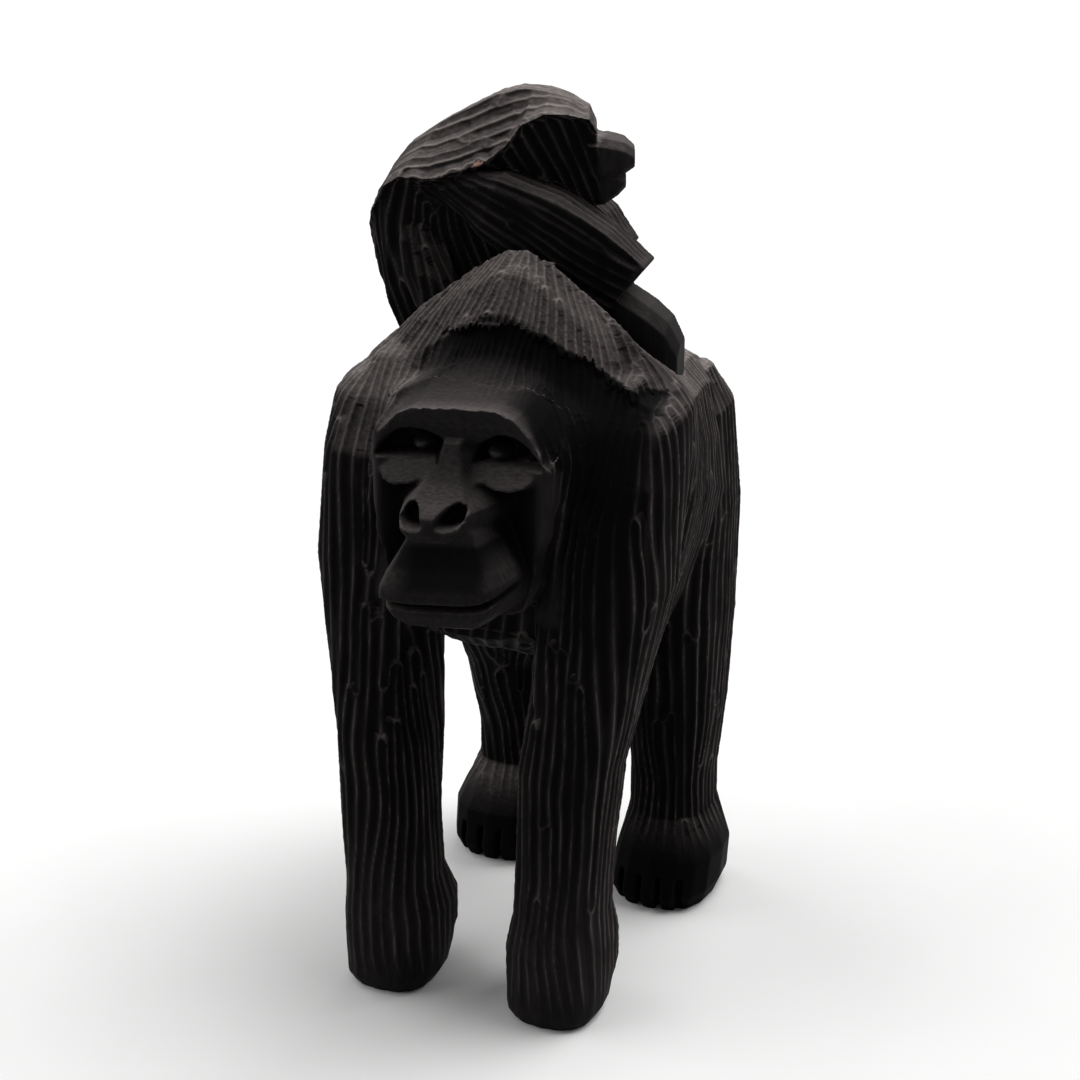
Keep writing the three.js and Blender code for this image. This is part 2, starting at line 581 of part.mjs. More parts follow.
// The uncarved blocks of the adult, each short of its neighbours by half the glue gap
function adultBlocks() {
  const half = GLUE_GAP / 2;
  const inner = SHOULDER_FACE - half;
  const outer = SHOULDER_FACE + half;
  const armBlock = block([outer, -FAR, -FAR], [FAR, WAIST_FACE - half, FAR])
    .add(block([0, -FAR, -FAR], [FAR, WAIST_FACE - half, ARMPIT_FACE - half]));
  const legBlock = block([outer, WAIST_FACE + half, -FAR], [FAR, FAR, FAR])
    .add(block([0, WAIST_FACE + half, -FAR], [FAR, FAR, GROIN_FACE - half]));
  const chest = block([-inner, -FAR, ARMPIT_FACE + half], [inner, WAIST_FACE, THROAT_FACE - half]);
  const core = block([-inner, -NECK_FACE + half, ARMPIT_FACE + half], [inner, WAIST_FACE, FAR]);
  const rear = block([-inner, WAIST_FACE, GROIN_FACE + half], [inner, FAR, FAR]);
  const blocks = {
    head: block([-inner, -FAR, THROAT_FACE + half], [inner, -NECK_FACE - half, FAR]),
    trunk: joined([chest, core, rear]),
  };
  for (const [name, side] of Object.entries(SIDES)) {
    blocks[`${name}_arm`] = mirrored(armBlock, side);
    blocks[`${name}_leg`] = mirrored(legBlock, side);
  }
  return blocks;
}

// The uncarved block of the young's head, set back from its glued faces
function youngHeadBlock(back) {
  return block([YOUNG_NECK_FACE + back, -FAR, YOUNG_THROAT_FACE + back], [FAR, FAR, FAR]);
}

// Every dowel across a glued face
function dowelPlan() {
  const large = { radius: DOWEL_RADIUS, length: DOWEL_LENGTH };
  const small = { radius: YOUNG_DOWEL_RADIUS, length: YOUNG_DOWEL_LENGTH };
  const youngAt = (x, y, z) => new THREE.Vector3(x, y, z).applyMatrix4(youngFrame);
  const youngAcross = Y_AXIS.clone().transformDirection(youngFrame);
  const rib = (WAIST_FACE - NECK_FACE) / 2;
  const plan = {};
  for (const [name, side] of Object.entries(SIDES)) {
    const face = side * (SHOULDER_FACE - DOWEL_INSET);
    const arm = youngAt(-3, side * (YOUNG_HALF_WIDTH - 12), YOUNG_SHOULDER_HEIGHT - 4);
    const neck = new THREE.Vector3(side * 16, -NECK_FACE, FLANK_HEIGHT + 11);
    plan[`${name}_neck_dowel`] = { at: neck, along: Y_AXIS, ...large };
    plan[`young_${name}_shoulder_dowel`] = { at: arm, along: youngAcross, ...small };
    for (const [level, z] of Object.entries({ upper: DOWEL_PITCH / 2, lower: -DOWEL_PITCH / 2 })) {
      const shoulder = new THREE.Vector3(face, rib, FLANK_HEIGHT + 4 + z);
      const hip = new THREE.Vector3(face, THIGH_BACK - 4, FLANK_HEIGHT - 10 + z);
      plan[`${name}_${level}_shoulder_dowel`] = { at: shoulder, along: X_AXIS, ...large };
      plan[`${name}_${level}_hip_dowel`] = { at: hip, along: X_AXIS, ...large };
    }
  }
  plan.young_front_seat_dowel = { at: youngAt(2, 0, 1), along: Z_AXIS, ...small };
  plan.young_rear_seat_dowel = { at: youngAt(-26, 0, 1), along: Z_AXIS, ...small };
  plan.young_neck_dowel = { at: youngAt(3, 0, YOUNG_THROAT_FACE), along: Z_AXIS, ...small };
  return plan;
}

function carvedPieces() {
  const adult = joined([
    trunkMass(),
    armMass(SIDES.left),
    armMass(SIDES.right),
    legMass(SIDES.left, LEFT_FOOT_BACK, LEFT_ANKLE_BACK),
    legMass(SIDES.right, RIGHT_FOOT_BACK, RIGHT_ANKLE_BACK),
    skullMass(),
    browMass(),
    shelfMass(),
    noseMass(),
    muzzleMass(),
  ]).subtract(joined(faceHollows()));
  const eyeSeats = joined(Object.values(SIDES).map((side) => eyeBead(side, GLUE_GAP)));
  const pieces = {};
  for (const [name, blank] of Object.entries(adultBlocks())) {
    pieces[name] = adult.intersect(blank).subtract(eyeSeats);
  }
  const seat = joined([
    trunkMass(GLUE_GAP),
    armMass(SIDES.left, GLUE_GAP),
    armMass(SIDES.right, GLUE_GAP),
  ]);
  const handReach = { left: YOUNG_LEFT_HAND_REACH, right: YOUNG_RIGHT_HAND_REACH };
  const armRoom = Object.entries(SIDES)
    .map(([name, side]) => onBack(youngArm(side, handReach[name], GLUE_GAP)));
  const young = onBack(joined([youngTorso(), youngLeg(SIDES.left), youngLeg(SIDES.right), youngHead()]))
    .subtract(joined([seat, ...armRoom]));
  const half = GLUE_GAP / 2;
  pieces.young_body = young.subtract(onBack(youngHeadBlock(-half)));
  pieces.young_head = young.intersect(onBack(youngHeadBlock(half)));
  for (const [name, side] of Object.entries(SIDES)) {
    pieces[`young_${name}_arm`] = onBack(youngArm(side, handReach[name])).subtract(seat);
    pieces[`${name}_eye`] = eyeBead(side);
  }
  return pieces;
}

const carvedWood = () => new THREE.MeshStandardMaterial({ color: 0x211d1c, roughness: 0.62, metalness: 0 });
const eyeWood = () => new THREE.MeshStandardMaterial({ color: 0x2b2b2c, roughness: 0.35, metalness: 0 });
const dowelWood = () => new THREE.MeshStandardMaterial({ color: 0xc9a77c, roughness: 0.75, metalness: 0 });

function meshOf(name, solid, material) {
  const mesh = new THREE.Mesh(geometryOf(solid), material);
  mesh.name = name;
  return mesh;
}

const gorilla = new THREE.Group();
const plan = Object.entries(dowelPlan());
const holes = joined(plan.map(([, peg]) => dowel(peg, GLUE_GAP)));
for (const [name, solid] of Object.entries(carvedPieces())) {
  const isEye = name.endsWith("_eye");
  const piece = isEye ? solid : solid.subtract(holes);
  gorilla.add(meshOf(name, piece, isEye ? eyeWood() : carvedWood()));
}
for (const [name, peg] of plan) gorilla.add(meshOf(name, dowel(peg), dowelWood()));

// The origin is under the middle of the figure, on the floor
const box = new THREE.Box3().setFromObject(gorilla);
const middle = box.getCenter(new THREE.Vector3());
gorilla.position.set(-middle.x, -middle.y, -box.min.z);

export default gorilla;
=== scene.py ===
"""A carved black wooden gorilla with its young on its back: the gouge-cut skin, finish and studio."""
import itertools
import math

import bmesh
import bpy
import numpy as np
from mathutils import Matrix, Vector, noise
from mathutils.bvhtree import BVHTree
from mathutils.kdtree import KDTree


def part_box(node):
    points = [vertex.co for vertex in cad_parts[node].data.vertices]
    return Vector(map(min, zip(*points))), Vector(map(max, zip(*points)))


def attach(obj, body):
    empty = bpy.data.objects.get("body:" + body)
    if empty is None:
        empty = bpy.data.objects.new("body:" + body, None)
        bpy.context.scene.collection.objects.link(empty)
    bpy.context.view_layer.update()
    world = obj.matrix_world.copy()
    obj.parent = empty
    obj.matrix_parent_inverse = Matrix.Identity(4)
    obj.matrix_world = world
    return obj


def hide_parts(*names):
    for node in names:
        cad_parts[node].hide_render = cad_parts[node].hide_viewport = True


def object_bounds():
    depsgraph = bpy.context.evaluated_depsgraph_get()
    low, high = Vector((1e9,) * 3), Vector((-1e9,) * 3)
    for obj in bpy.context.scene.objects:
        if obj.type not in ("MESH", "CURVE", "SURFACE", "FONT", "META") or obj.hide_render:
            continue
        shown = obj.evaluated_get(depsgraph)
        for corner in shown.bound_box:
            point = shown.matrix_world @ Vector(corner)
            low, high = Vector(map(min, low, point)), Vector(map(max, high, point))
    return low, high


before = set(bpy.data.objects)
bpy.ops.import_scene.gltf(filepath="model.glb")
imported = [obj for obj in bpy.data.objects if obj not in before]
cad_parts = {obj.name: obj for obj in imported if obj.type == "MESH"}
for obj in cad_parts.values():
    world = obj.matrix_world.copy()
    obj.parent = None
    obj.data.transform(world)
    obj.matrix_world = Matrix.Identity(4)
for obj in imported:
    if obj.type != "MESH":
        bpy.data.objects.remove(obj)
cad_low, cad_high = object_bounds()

MM = 0.001
UP = Vector((0, 0, 1))

# Camera of the photograph
VIEW_AZIMUTH = 23.5
VIEW_ELEVATION = 21.0
VIEW_DISTANCE = 782 * MM
VIEW_LENS = 80.0
VIEW_TARGET = (12.1, 33.6, -40.6)

# Skin: voxel of the carved surface, smoothing passes and the hair's breadth that closes glued faces
VOXEL = 0.52 * MM
GUIDE_VOXEL = 1.6 * MM
SMOOTH_PASSES = 2
GUIDE_PASSES = 12
GLUE_LAP = 0.22 * MM

# Gouge cuts: spacing by place, how unevenly it varies and over what distance, step along a cut, lengths, and
# the share of the spacing at which a cut ends at its neighbour
BODY_SPACING = 4.6 * MM
CREST_SPACING = 3.1 * MM
YOUNG_SPACING = 3.7 * MM
SLEEVE_SPACING = 4.4 * MM
SPACING_SPREAD = 0.9
SPACING_RANGE = (0.8, 1.5)
SPACING_SCALE = 13 * MM
CUT_STEP = 1.2 * MM
CUT_LENGTHS = (90 * MM, 300 * MM)
CUT_SHORTEST = 7 * MM
CUT_MERGE = 0.5

# Depth of a cut as a share of its width, how much that varies, and how it runs out at the ends
CUT_DEPTH = 0.21
CUT_FORCES = (0.6, 1.3)
CUT_TAPER = 5 * MM
END_DEPTH = 0.4
# Cuts go deeper over the crest, by this share, from one height to another
CREST_FORCE = 0.45
CREST_RISE = (205 * MM, 220 * MM)
# How far a cut wanders from the grain, over what distance, and the gouge strokes that make it up
WANDERS = ((0.26, 32 * MM), (0.14, 9 * MM))
STROKE_LENGTHS = (13 * MM, 34 * MM)
STROKE_STEP = 0.2

# Worn edges: passes of averaging round a point, and how far it stands out where the wear begins and is full
EDGE_PASSES = 5
EDGE_STANDING = (0.12 * MM, 0.40 * MM)
EDGE_SHARE = 0.6
# Worn ridges and painted shade in the cuts: the share that spreads softly over a cut as painted shade, how
# sharp the rest is, what is left at the ends
CUT_SHADE_SHARE = 0.16
RIDGE_POWER = 9
END_WEAR = 0.4
# Values kept at each point of a skin for the finish
KEPT_VALUES = ("ridge", "painted_light_share", "painted_shade", "chip")

ADULT_NODES = ("head", "trunk", "left_arm", "right_arm", "left_leg", "right_leg")


def middle_of(node):
    low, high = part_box(node)
    return (low + high) / 2


# The adult's carving is measured from the point between its eyes
EYES = (middle_of("left_eye") + middle_of("right_eye")) / 2
EYE_REACH = (middle_of("left_eye") - middle_of("right_eye")).x / 2

# The young's carving is measured along the two dowels that it sits on, from a point just behind the front one
YOUNG_ALONG = (middle_of("young_front_seat_dowel") - middle_of("young_rear_seat_dowel")).normalized()
YOUNG_ACROSS = UP.cross(YOUNG_ALONG)
YOUNG_SEAT = middle_of("young_front_seat_dowel") - (2 * YOUNG_ALONG + UP) * MM


def eye_point(x, y, z):
    """A place in millimetres to the side of, behind and over the point between the eyes."""
    return EYES + Vector((x, y, z)) * MM


def young_point(x, y, z):
    """A place in the young's own frame, given in millimetres along it, across it and up."""
    return YOUNG_SEAT + (YOUNG_ALONG * x + YOUNG_ACROSS * y + UP * z) * MM


def new_object(name, mesh):
    obj = bpy.data.objects.new(name, mesh)
    bpy.context.scene.collection.objects.link(obj)
    return obj


def mesh_from(name, points, faces):
    mesh = bpy.data.meshes.new(name)
    mesh.from_pydata([tuple(p) for p in points], [], [tuple(f) for f in faces])
    return mesh


def rows(items, name, width, kind=np.float64):
    """A value of each of a mesh's items, one row for each."""
    flat = np.empty(len(items) * width, kind)
    items.foreach_get(name, flat)
    return flat.reshape(-1, width)


def points_of(mesh):
    return rows(mesh.vertices, "co", 3)


def set_points(mesh, points):
    mesh.vertices.foreach_set("co", points.ravel())
    mesh.update()


def normals_of(mesh):
    return rows(mesh.vertex_normals, "vector", 3)


def applied(obj):
    """The mesh of an object with its modifiers in it."""
    graph = bpy.context.evaluated_depsgraph_get()
    return bpy.data.meshes.new_from_object(obj.evaluated_get(graph))


def shape_of(mesh):
    shape = bmesh.new()
    shape.from_mesh(mesh)
    bmesh.ops.recalc_face_normals(shape, faces=shape.faces)
    return shape


def closed(mesh):
    """The same mesh with its faces pointing out."""
    shape = shape_of(mesh)
    shape.to_mesh(mesh)
    shape.free()
    return mesh


def loft(rings):
    """A closed skin through rings with the same number of points."""
    count = len(rings[0])
    last = (len(rings) - 1) * count
    faces = [tuple(range(count)), tuple(range(last, last + count))]
    for start in range(0, last, count):
        for i in range(count):
            j = (i + 1) % count
            faces.append((start + i, start + j, start + count + j, start + count + i))
    return closed(mesh_from("loft", [point for ring in rings for point in ring], faces))


def combined(mesh, other, operation):
    """Two closed meshes joined or cut."""
    first, second = new_object("first", mesh), new_object("second", other)
    cut = first.modifiers.new("cut", "BOOLEAN")
    cut.operation = operation
    cut.solver = "MANIFOLD"
    cut.object = second
    result = applied(first)
    bpy.data.objects.remove(first)
    bpy.data.objects.remove(second)
    return result


def grown_copy(node, grow):
    """A welded copy of a CAD node's mesh, its surface moved out by a hair."""
    shape = bmesh.new()
    shape.from_mesh(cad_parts[node].data)
    bmesh.ops.remove_doubles(shape, verts=shape.verts, dist=1e-6)
    shape.normal_update()
    for vert, normal in [(v, v.normal.copy()) for v in shape.verts]:
        vert.co += normal * grow
    return shape


def remeshed(shapes, voxel):
    """One closed skin over several solids."""
    joined = bmesh.new()
    for shape in shapes:
        part = bpy.data.meshes.new("part")
        shape.to_mesh(part)
        joined.from_mesh(part)
        bpy.data.meshes.remove(part)
    whole = bpy.data.meshes.new("blank")
    joined.to_mesh(whole)
    joined.free()
    blank = new_object("blank", whole)
    remesh = blank.modifiers.new("skin", "REMESH")
    remesh.mode = "VOXEL"
    remesh.voxel_size = voxel
    mesh = applied(blank)
    bpy.data.objects.remove(blank)
    return mesh


def edges_of(mesh):
    return rows(mesh.edges, "vertices", 2, np.int64)


def neighbour_mean(values, edges):
    """The average over each point's neighbours, of one column or of several."""
    count = len(values)
    ends = np.concatenate([edges[:, 0], edges[:, 1]])
    others = np.concatenate([edges[:, 1], edges[:, 0]])
    columns = values.reshape(count, -1)
    sums = [np.bincount(ends, weights=columns[others, i], minlength=count) for i in range(columns.shape[1])]
    degree = np.maximum(np.bincount(ends, minlength=count), 1)
    return (np.stack(sums, 1) / degree[:, None]).reshape(values.shape)


def smoothed(points, edges, passes):
    """Points relaxed towards the middle of their neighbours and back, so that the shape doesn't shrink."""
    for _ in range(passes):
        for share in (0.5, -0.52):
            points = points + share * (neighbour_mean(points, edges) - points)
    return points


def edge_wear(mesh, edges):
    """1 along outward edges, where a skin stands out from its surroundings, and 0 elsewhere."""
    points = points_of(mesh)
    around = points
    for _ in range(EDGE_PASSES):
        around = neighbour_mean(around, edges)
    standing = np.einsum("ij,ij->i", points - around, normals_of(mesh))
    return smoothstep(*EDGE_STANDING, neighbour_mean(standing, edges))


def smoothstep(low, high, value):
    share = np.clip((value - low) / (high - low), 0, 1)
    return share * share * (3 - 2 * share)


def band(value, rise, fall):
    """1 between two places, fading in over the first range and out over the second."""
    return smoothstep(*rise, value) * smoothstep(*fall, value)


def largest(*values):
    return np.maximum.reduce(values)


def along_profile(value, profile):
    """A height read off a list of (place, height) points."""
    return np.interp(value, [p[0] for p in profile], [p[1] for p in profile])


# Gouge cuts

class CutGrid:
    """Points of the cuts laid so far, sorted into cells so that near ones are found at once."""

    def __init__(self, cell):
        self.cell = cell
        self.cells = {}

    def key(self, point):
        return tuple(math.floor(value / self.cell) for value in point)

    def add(self, point, line):
        self.cells.setdefault(self.key(point), []).append((point, line))

    def nearest(self, point, line=None):
        """Distance to the nearest point of any other line, or a large number."""
        i, j, k = self.key(point)
        best = 1.0
        for di, dj, dk in itertools.product((-1, 0, 1), repeat=3):
            for other, number in self.cells.get((i + di, j + dj, k + dk), ()):
                if number != line:
                    best = min(best, (other - point).length)
        return best


def heading(grain, point, normal):
    """Unit direction of the cut at a point of the skin, wandering a little."""
    along = grain(point, normal)
    along = along - normal * along.dot(normal)
    if along.length < 1e-4:
        return None
    along.normalize()
    turn = sum(size * noise.noise(point / scale) for size, scale in WANDERS)
    return (along + normal.cross(along) * turn).normalized()


def traced(skin, grain, start, grid, line, spacing):
    """One cut through a starting point, both ways along the grain, until it runs into another cut."""
    runs = []
    chance = np.random.default_rng(line)
    for way in (1, -1):
        reach = chance.uniform(*CUT_LENGTHS) / 2
        point, normal = start
        run = []
        before = None
        while len(run) * CUT_STEP < reach:
            along = heading(grain, point, normal)
            if along is None:
                break
            along = along * way
            if before is not None and along.dot(before) < 0.2:
                break
            before = along
            found = skin.find_nearest(point + along * CUT_STEP)
            if found[0] is None or grid.nearest(found[0], line) < spacing * CUT_MERGE:
                break
            point, normal = found[0], found[1]
            run.append((point, along * way))
        runs.append(run)
    first = heading(grain, *start)
    return runs[1][::-1] + ([(start[0], first)] if first else []) + runs[0]


def lay_cuts(skin, grain, starts, spacing):
    """Cuts side by side over a skin, each a list of (point, direction), as far apart as spacing says."""
    grid = CutGrid(BODY_SPACING)
    cuts = []
    for start in starts:
        queue = [start]
        while queue:
            found = skin.find_nearest(queue.pop())
            if found[0] is None:
                continue
            apart = spacing(found[0])
            if grid.nearest(found[0]) < apart * 0.98:
                continue
            cut = traced(skin, grain, (found[0], found[1]), grid, len(cuts), apart)
            if len(cut) * CUT_STEP < CUT_SHORTEST:
                continue
            for place, _ in cut:
                grid.add(place, len(cuts))
            cuts.append(cut)
            for place, along in cut[::3]:
                normal = skin.find_nearest(place)[1]
                side = normal.cross(along).normalized() * apart * 1.03
                queue += [place + side, place - side]
    return cuts


def cut_profile(points, cuts):
    """For each point: its share of the way from the middle of a cut to the ridge, the cut's width and number,
    and how far along the cut it lies."""
    places = [place for cut in cuts for place, _ in cut]
    along = np.array([direction for cut in cuts for _, direction in cut])
    number = np.array([i for i, cut in enumerate(cuts) for _ in cut])
    station = np.array([i * CUT_STEP for cut in cuts for i in range(len(cut))])
    tree = KDTree(len(places))
    for i, place in enumerate(places):
        tree.insert(place, i)
    tree.balance()
    nearest = np.empty((len(points), 2), dtype=np.int64)
    for i, point in enumerate(points):
        found = tree.find_n(point, 14)
        first = found[0][1]
        second = next((index for _, index, _ in found if number[index] != number[first]), -1)
        nearest[i] = first, second
    places = np.array(places)

    def distance(index):
        offset = points - places[index]
        lengthwise = np.einsum("ij,ij->i", offset, along[index])
        across = np.sqrt(np.maximum(np.einsum("ij,ij->i", offset, offset) - lengthwise**2, 0))
        return np.hypot(across, np.maximum(np.abs(lengthwise) - CUT_STEP / 2, 0))

    first, second = nearest.T
    near = distance(first)
    far = np.where(second < 0, BODY_SPACING, distance(np.maximum(second, 0)))
    share = np.clip(2 * near / (near + far + 1e-9), 0, 1)
    return share, np.minimum(near + far, 1.5 * BODY_SPACING), number[first], station[first]


def skin_tree(mesh):
    """A coarser copy of a skin, for laying the cuts on, and places to start them from."""
    guide = remeshed([shape_of(mesh)], GUIDE_VOXEL)
    set_points(guide, smoothed(points_of(guide), edges_of(guide), GUIDE_PASSES))
    order = np.random.default_rng(7).permutation(len(guide.vertices))
    starts = [guide.vertices[int(i)].co.copy() for i in order]
    holder = new_object("guide", guide)
    tree = BVHTree.FromObject(holder, bpy.context.evaluated_depsgraph_get())
    bpy.data.objects.remove(holder)
    return tree, starts


def keep(mesh, name, values):
    """Stores a value at each point for the finish to read."""
    attribute = mesh.attributes.new(name, "FLOAT", "POINT")
    attribute.data.foreach_set("value", values.astype(np.float32))


def parted(skin, block, operation):
    """The part of a skin in or outside a block, with the skin's kept values along the cut too."""
    part = combined(skin.copy(), block, operation)
    tree = KDTree(len(skin.vertices))
    for number, vertex in enumerate(skin.vertices):
        tree.insert(vertex.co, number)
    tree.balance()
    nearest = np.array([tree.find(vertex.co)[1] for vertex in part.vertices])
    for name in KEPT_VALUES:
        if name in skin.attributes:
            values = rows(skin.attributes[name].data, "value", 1, np.float32)
            part.attributes[name].data.foreach_set("value", values[nearest].ravel())
    return part


def carve(mesh, grain, roughing, spacing, recess=None, painted_light=None, upper_force=0):
    """Cuts a skin with gouge strokes and keeps how worn each ridge and edge is, with painted shade in the
    hollow of each cut, and where the colour is painted paler for sheen and for light from the floor.
    """
    edges = edges_of(mesh)
    set_points(mesh, smoothed(points_of(mesh), edges, SMOOTH_PASSES))
    tree, starts = skin_tree(mesh)
    cuts = lay_cuts(tree, grain, starts, spacing)
    points, normals = points_of(mesh), normals_of(mesh)
    share, width, number, station = cut_profile(points, cuts)
    chance = np.random.default_rng(11)
    force = chance.uniform(*CUT_FORCES, len(cuts))
    stroke = chance.uniform(*STROKE_LENGTHS, len(cuts))
    phase = chance.uniform(0, 1, len(cuts))
    stage = (station / stroke[number] + phase[number]) % 1
    lengths = np.array([len(cut) for cut in cuts]) * CUT_STEP
    taper = smoothstep(0, CUT_TAPER, np.minimum(station, lengths[number] - station))
    rough = roughing(points, normals)
    depth = CUT_DEPTH * width * rough * force[number] * (1 - STROKE_STEP * stage) * (1 - share**2)
    depth = depth * (END_DEPTH + (1 - END_DEPTH) * taper)
    depth = depth * (1 + upper_force * smoothstep(*CREST_RISE, points[:, 2]))
    if recess is not None:
        depth = depth + recess(points, normals, share)
    moved = points - normals * depth[:, None]
    set_points(mesh, np.clip(moved, np.array(cad_low), np.array(cad_high)))
    # Ridges lighter than the middle of each cut: wear, and painted shade in the hollow of each cut
    wear_and_cut_shade = CUT_SHADE_SHARE * share**2 + (1 - CUT_SHADE_SHARE) * share**RIDGE_POWER
    wear_and_cut_shade = wear_and_cut_shade * rough * (END_WEAR + (1 - END_WEAR) * taper) * np.minimum(force[number], 1)
    keep(mesh, "ridge", wear_and_cut_shade + (1 - rough) * EDGE_SHARE * edge_wear(mesh, edges))
    keep(mesh, "painted_light_share", 1 - rough if painted_light is None else painted_light(points, rough))
    return mesh


# Face: depths in front of the eyes' middle, by the distance a from the middle plane and the height v over the
# eyes, all in millimetres
FACE_STEP = 0.5
FACE_HALF_WIDTH = 34
FACE_TOP = 19
FACE_BOTTOM = -57
FACE_BACK = -16
FACE_FRONT = 40
SKULL_BACK = 7
# Outline of the face plate: half width, height and how much it flares for each millimetre back from the brow
FACE_OUTLINE = ((0, 17, 0), (16, 17, 0), (23, 14, 0.15), (28, 5, 0.25), (30.5, -3, 0.3), (30, -14, 0.25),
                (28.5, -26, 0.1), (26.5, -36, 0), (24.8, -44, 0), (21.5, -51, 0), (15.5, -55, 0), (0, -56, 0))
FLARE_FROM = 3
# Features stand higher on the left side, by this share of the distance from the middle, at each height
FACE_LEAN = ((-20, 0.12), (-3, 0.03), (3, 0.03), (12, 0.085))
BROW_EDGE = ((0, 14.8), (14, 14.4), (20, 11.8), (25, 6), (29, -3), (31, -6))
BROW_OUT = ((0, 6.8), (14, 6.8), (20, 6.2), (25, 4.8), (29, 3.4), (31, 1))
BROW_UNDERCUT = 0.42
FACE_CURVE = 0.012
BROW_LEDGE = ((0, 12), (15, 12), (24, 3))
HOOD_HEIGHT = 13
SOCKET_TOP = ((4.5, 1), (8, 3), (12, 5.2), (16, 5.8), (20, 5.2), (24, 3), (27, 0), (29, -3.6))
SOCKET_FLOOR = -7.5
LOWER_LID = -4
SHELF_EDGE = ((0, -11), (10, -9.4), (14, -10.6), (20, -11), (24, -10), (28, -6.2), (30.5, -3.6))
SHELF_OUT = 1.6
SHELF_SLOPE = 1.1
SHELF_UNDERCUT = 14
NOSE_HALF = ((-25, 5.4), (-23, 8.6), (-20, 10.8), (-16, 11.2), (-12, 9.6), (-7, 6.6), (0, 4.2), (4, 3.4))
NOSE_OUT = ((-26, 16), (-24.5, 20.4), (-22.5, 22), (-18, 23.2), (-16, 22.6), (-14, 19.4), (-11.5, 14.6),
            (-8.5, 10.4), (-4, 6.8), (0, 4.8), (4, 3))
NOSE_FLANK = 2.4
NOSE_TOP = 3
MUZZLE_HALF = ((-56, 12), (-54, 15.8), (-50, 20), (-46, 22.6), (-43, 23.6), (-40, 23.8), (-36, 22.2),
               (-32, 19.6), (-26, 15.4), (-20, 12.4))
MUZZLE_OUT = ((-56, 12), (-54, 16.5), (-50, 20), (-46, 22), (-42.5, 23.2), (-39, 22.2), (-34, 20),
              (-30, 18.6), (-26, 17.8), (-22, 17.6), (-18, 14))
MUZZLE_TOP = -15
MUZZLE_DEPTH = 21
MUZZLE_CORNER = 0.72
MUZZLE_CORNER_POWER = 2.2
LIP_CURVE = 1.6
MUZZLE_DISH = ((-45, 0), (-40, 0.6), (-34, 1.8), (-29, 1.8), (-24, 0.8))
MOUTH_HEIGHT = -45.4
MOUTH_UPTURN = 4.6
MOUTH_HALF = 22.8
MOUTH_DEPTH = 5
LOWER_LIP_SETBACK = 0.8
NOSE_SIDE = -1.3
NOSTRIL = (6.3, -17)
NOSTRIL_SIZE = (4.6, 3.1)
NOSTRIL_TILT = math.radians(30)
NOSTRIL_DEPTH = 9
NOWHERE = -20


def brow_depth(a, v):
    """The hood over the eyes: a crisp edge, a ledge going back above it and an undercut below."""
    edge = along_profile(a, BROW_EDGE)
    out = along_profile(a, BROW_OUT)
    under = out - BROW_UNDERCUT * (edge - v) - FACE_CURVE * (edge - v) ** 2
    over = out - along_profile(a, BROW_LEDGE) * (v - edge)
    return np.where(v > edge - HOOD_HEIGHT, np.where(v < edge, under, over), NOWHERE)


def shelf_depth(a, v):
    """The flat facet of the cheekbones under the eyes, undercut along its lower edge."""
    edge = along_profile(a, SHELF_EDGE)
    slope = SHELF_OUT + SHELF_SLOPE * (LOWER_LID - v) - FACE_CURVE * np.maximum(a - 18, 0) ** 2
    slope = slope - SHELF_UNDERCUT * smoothstep(0.4, -1.2, v - edge)
    slope = np.where(v > LOWER_LID, SHELF_OUT - 3 * (v - LOWER_LID), slope)
    return np.where(v > edge - 1.5, slope, NOWHERE)


def nose_depth(a, v):
    """One plane that widens from the bridge to the wings."""
    side = NOSE_FLANK * np.maximum(a - along_profile(v, NOSE_HALF) + 1, 0)
    plane = along_profile(v, NOSE_OUT) - FACE_CURVE * a**2 - side
    return np.where((v < NOSE_TOP) & (v > NOSE_OUT[0][0]), plane, NOWHERE)


def over_mouth(a, v):
    """Height over the line of the mouth."""
    return v - MOUTH_HEIGHT - MOUTH_UPTURN * (a / MOUTH_HALF) ** 4


def mouth_share(a, v):
    """1 in the groove of the mouth, 0 outside."""
    groove = band(over_mouth(a, v), (0.9, 0.1), (-3.2, -1.1))
    return groove * smoothstep(MOUTH_HALF + 1, MOUTH_HALF - 1.5, a)


def muzzle_depth(a, v):
    """Lips and chin, widest at the mouth, with the line of the mouth turned up at its ends."""
    share = a / along_profile(v, MUZZLE_HALF)
    dish = along_profile(v, MUZZLE_DISH) * np.maximum(1 - share**2, 0) - 0.02 * a
    side = (np.maximum(share - MUZZLE_CORNER, 0) / (1 - MUZZLE_CORNER)) ** MUZZLE_CORNER_POWER
    body = along_profile(v, MUZZLE_OUT) - dish - LIP_CURVE * share**4 - MUZZLE_DEPTH * np.minimum(side, 4)
    setback = band(over_mouth(a, v), (0.8, -1.2), (-9, -3))
    body = body - MOUTH_DEPTH * mouth_share(a, v) - LOWER_LIP_SETBACK * setback
    return np.where(v < MUZZLE_TOP, body, NOWHERE)


def nostril_share(a, v):
    """1 inside a nostril, 0 outside: a leaning oval, wider at its outer end."""
    across, up = a - NOSTRIL[0], v - NOSTRIL[1]
    lengthwise = across * math.cos(NOSTRIL_TILT) + up * math.sin(NOSTRIL_TILT)
    sidewise = -across * math.sin(NOSTRIL_TILT) + up * math.cos(NOSTRIL_TILT)
    wide = NOSTRIL_SIZE[1] * (1 + 0.06 * lengthwise)
    return smoothstep(1.12, 0.8, np.hypot(lengthwise / NOSTRIL_SIZE[0], sidewise / wide))


def socket_share(a, v):
    """1 inside the almond of an eye socket, 0 outside."""
    under_hood = smoothstep(-0.2, 0.8, along_profile(a, SOCKET_TOP) - v)
    over_lid = smoothstep(LOWER_LID - 0.4, LOWER_LID + 0.6, v)
    return under_hood * over_lid * band(a, (4.2, 5.2), (29.5, 28.5))


def leaned(x, v):
    """A height over the eyes as the features of the face count it."""
    return v - along_profile(v, FACE_LEAN) * x


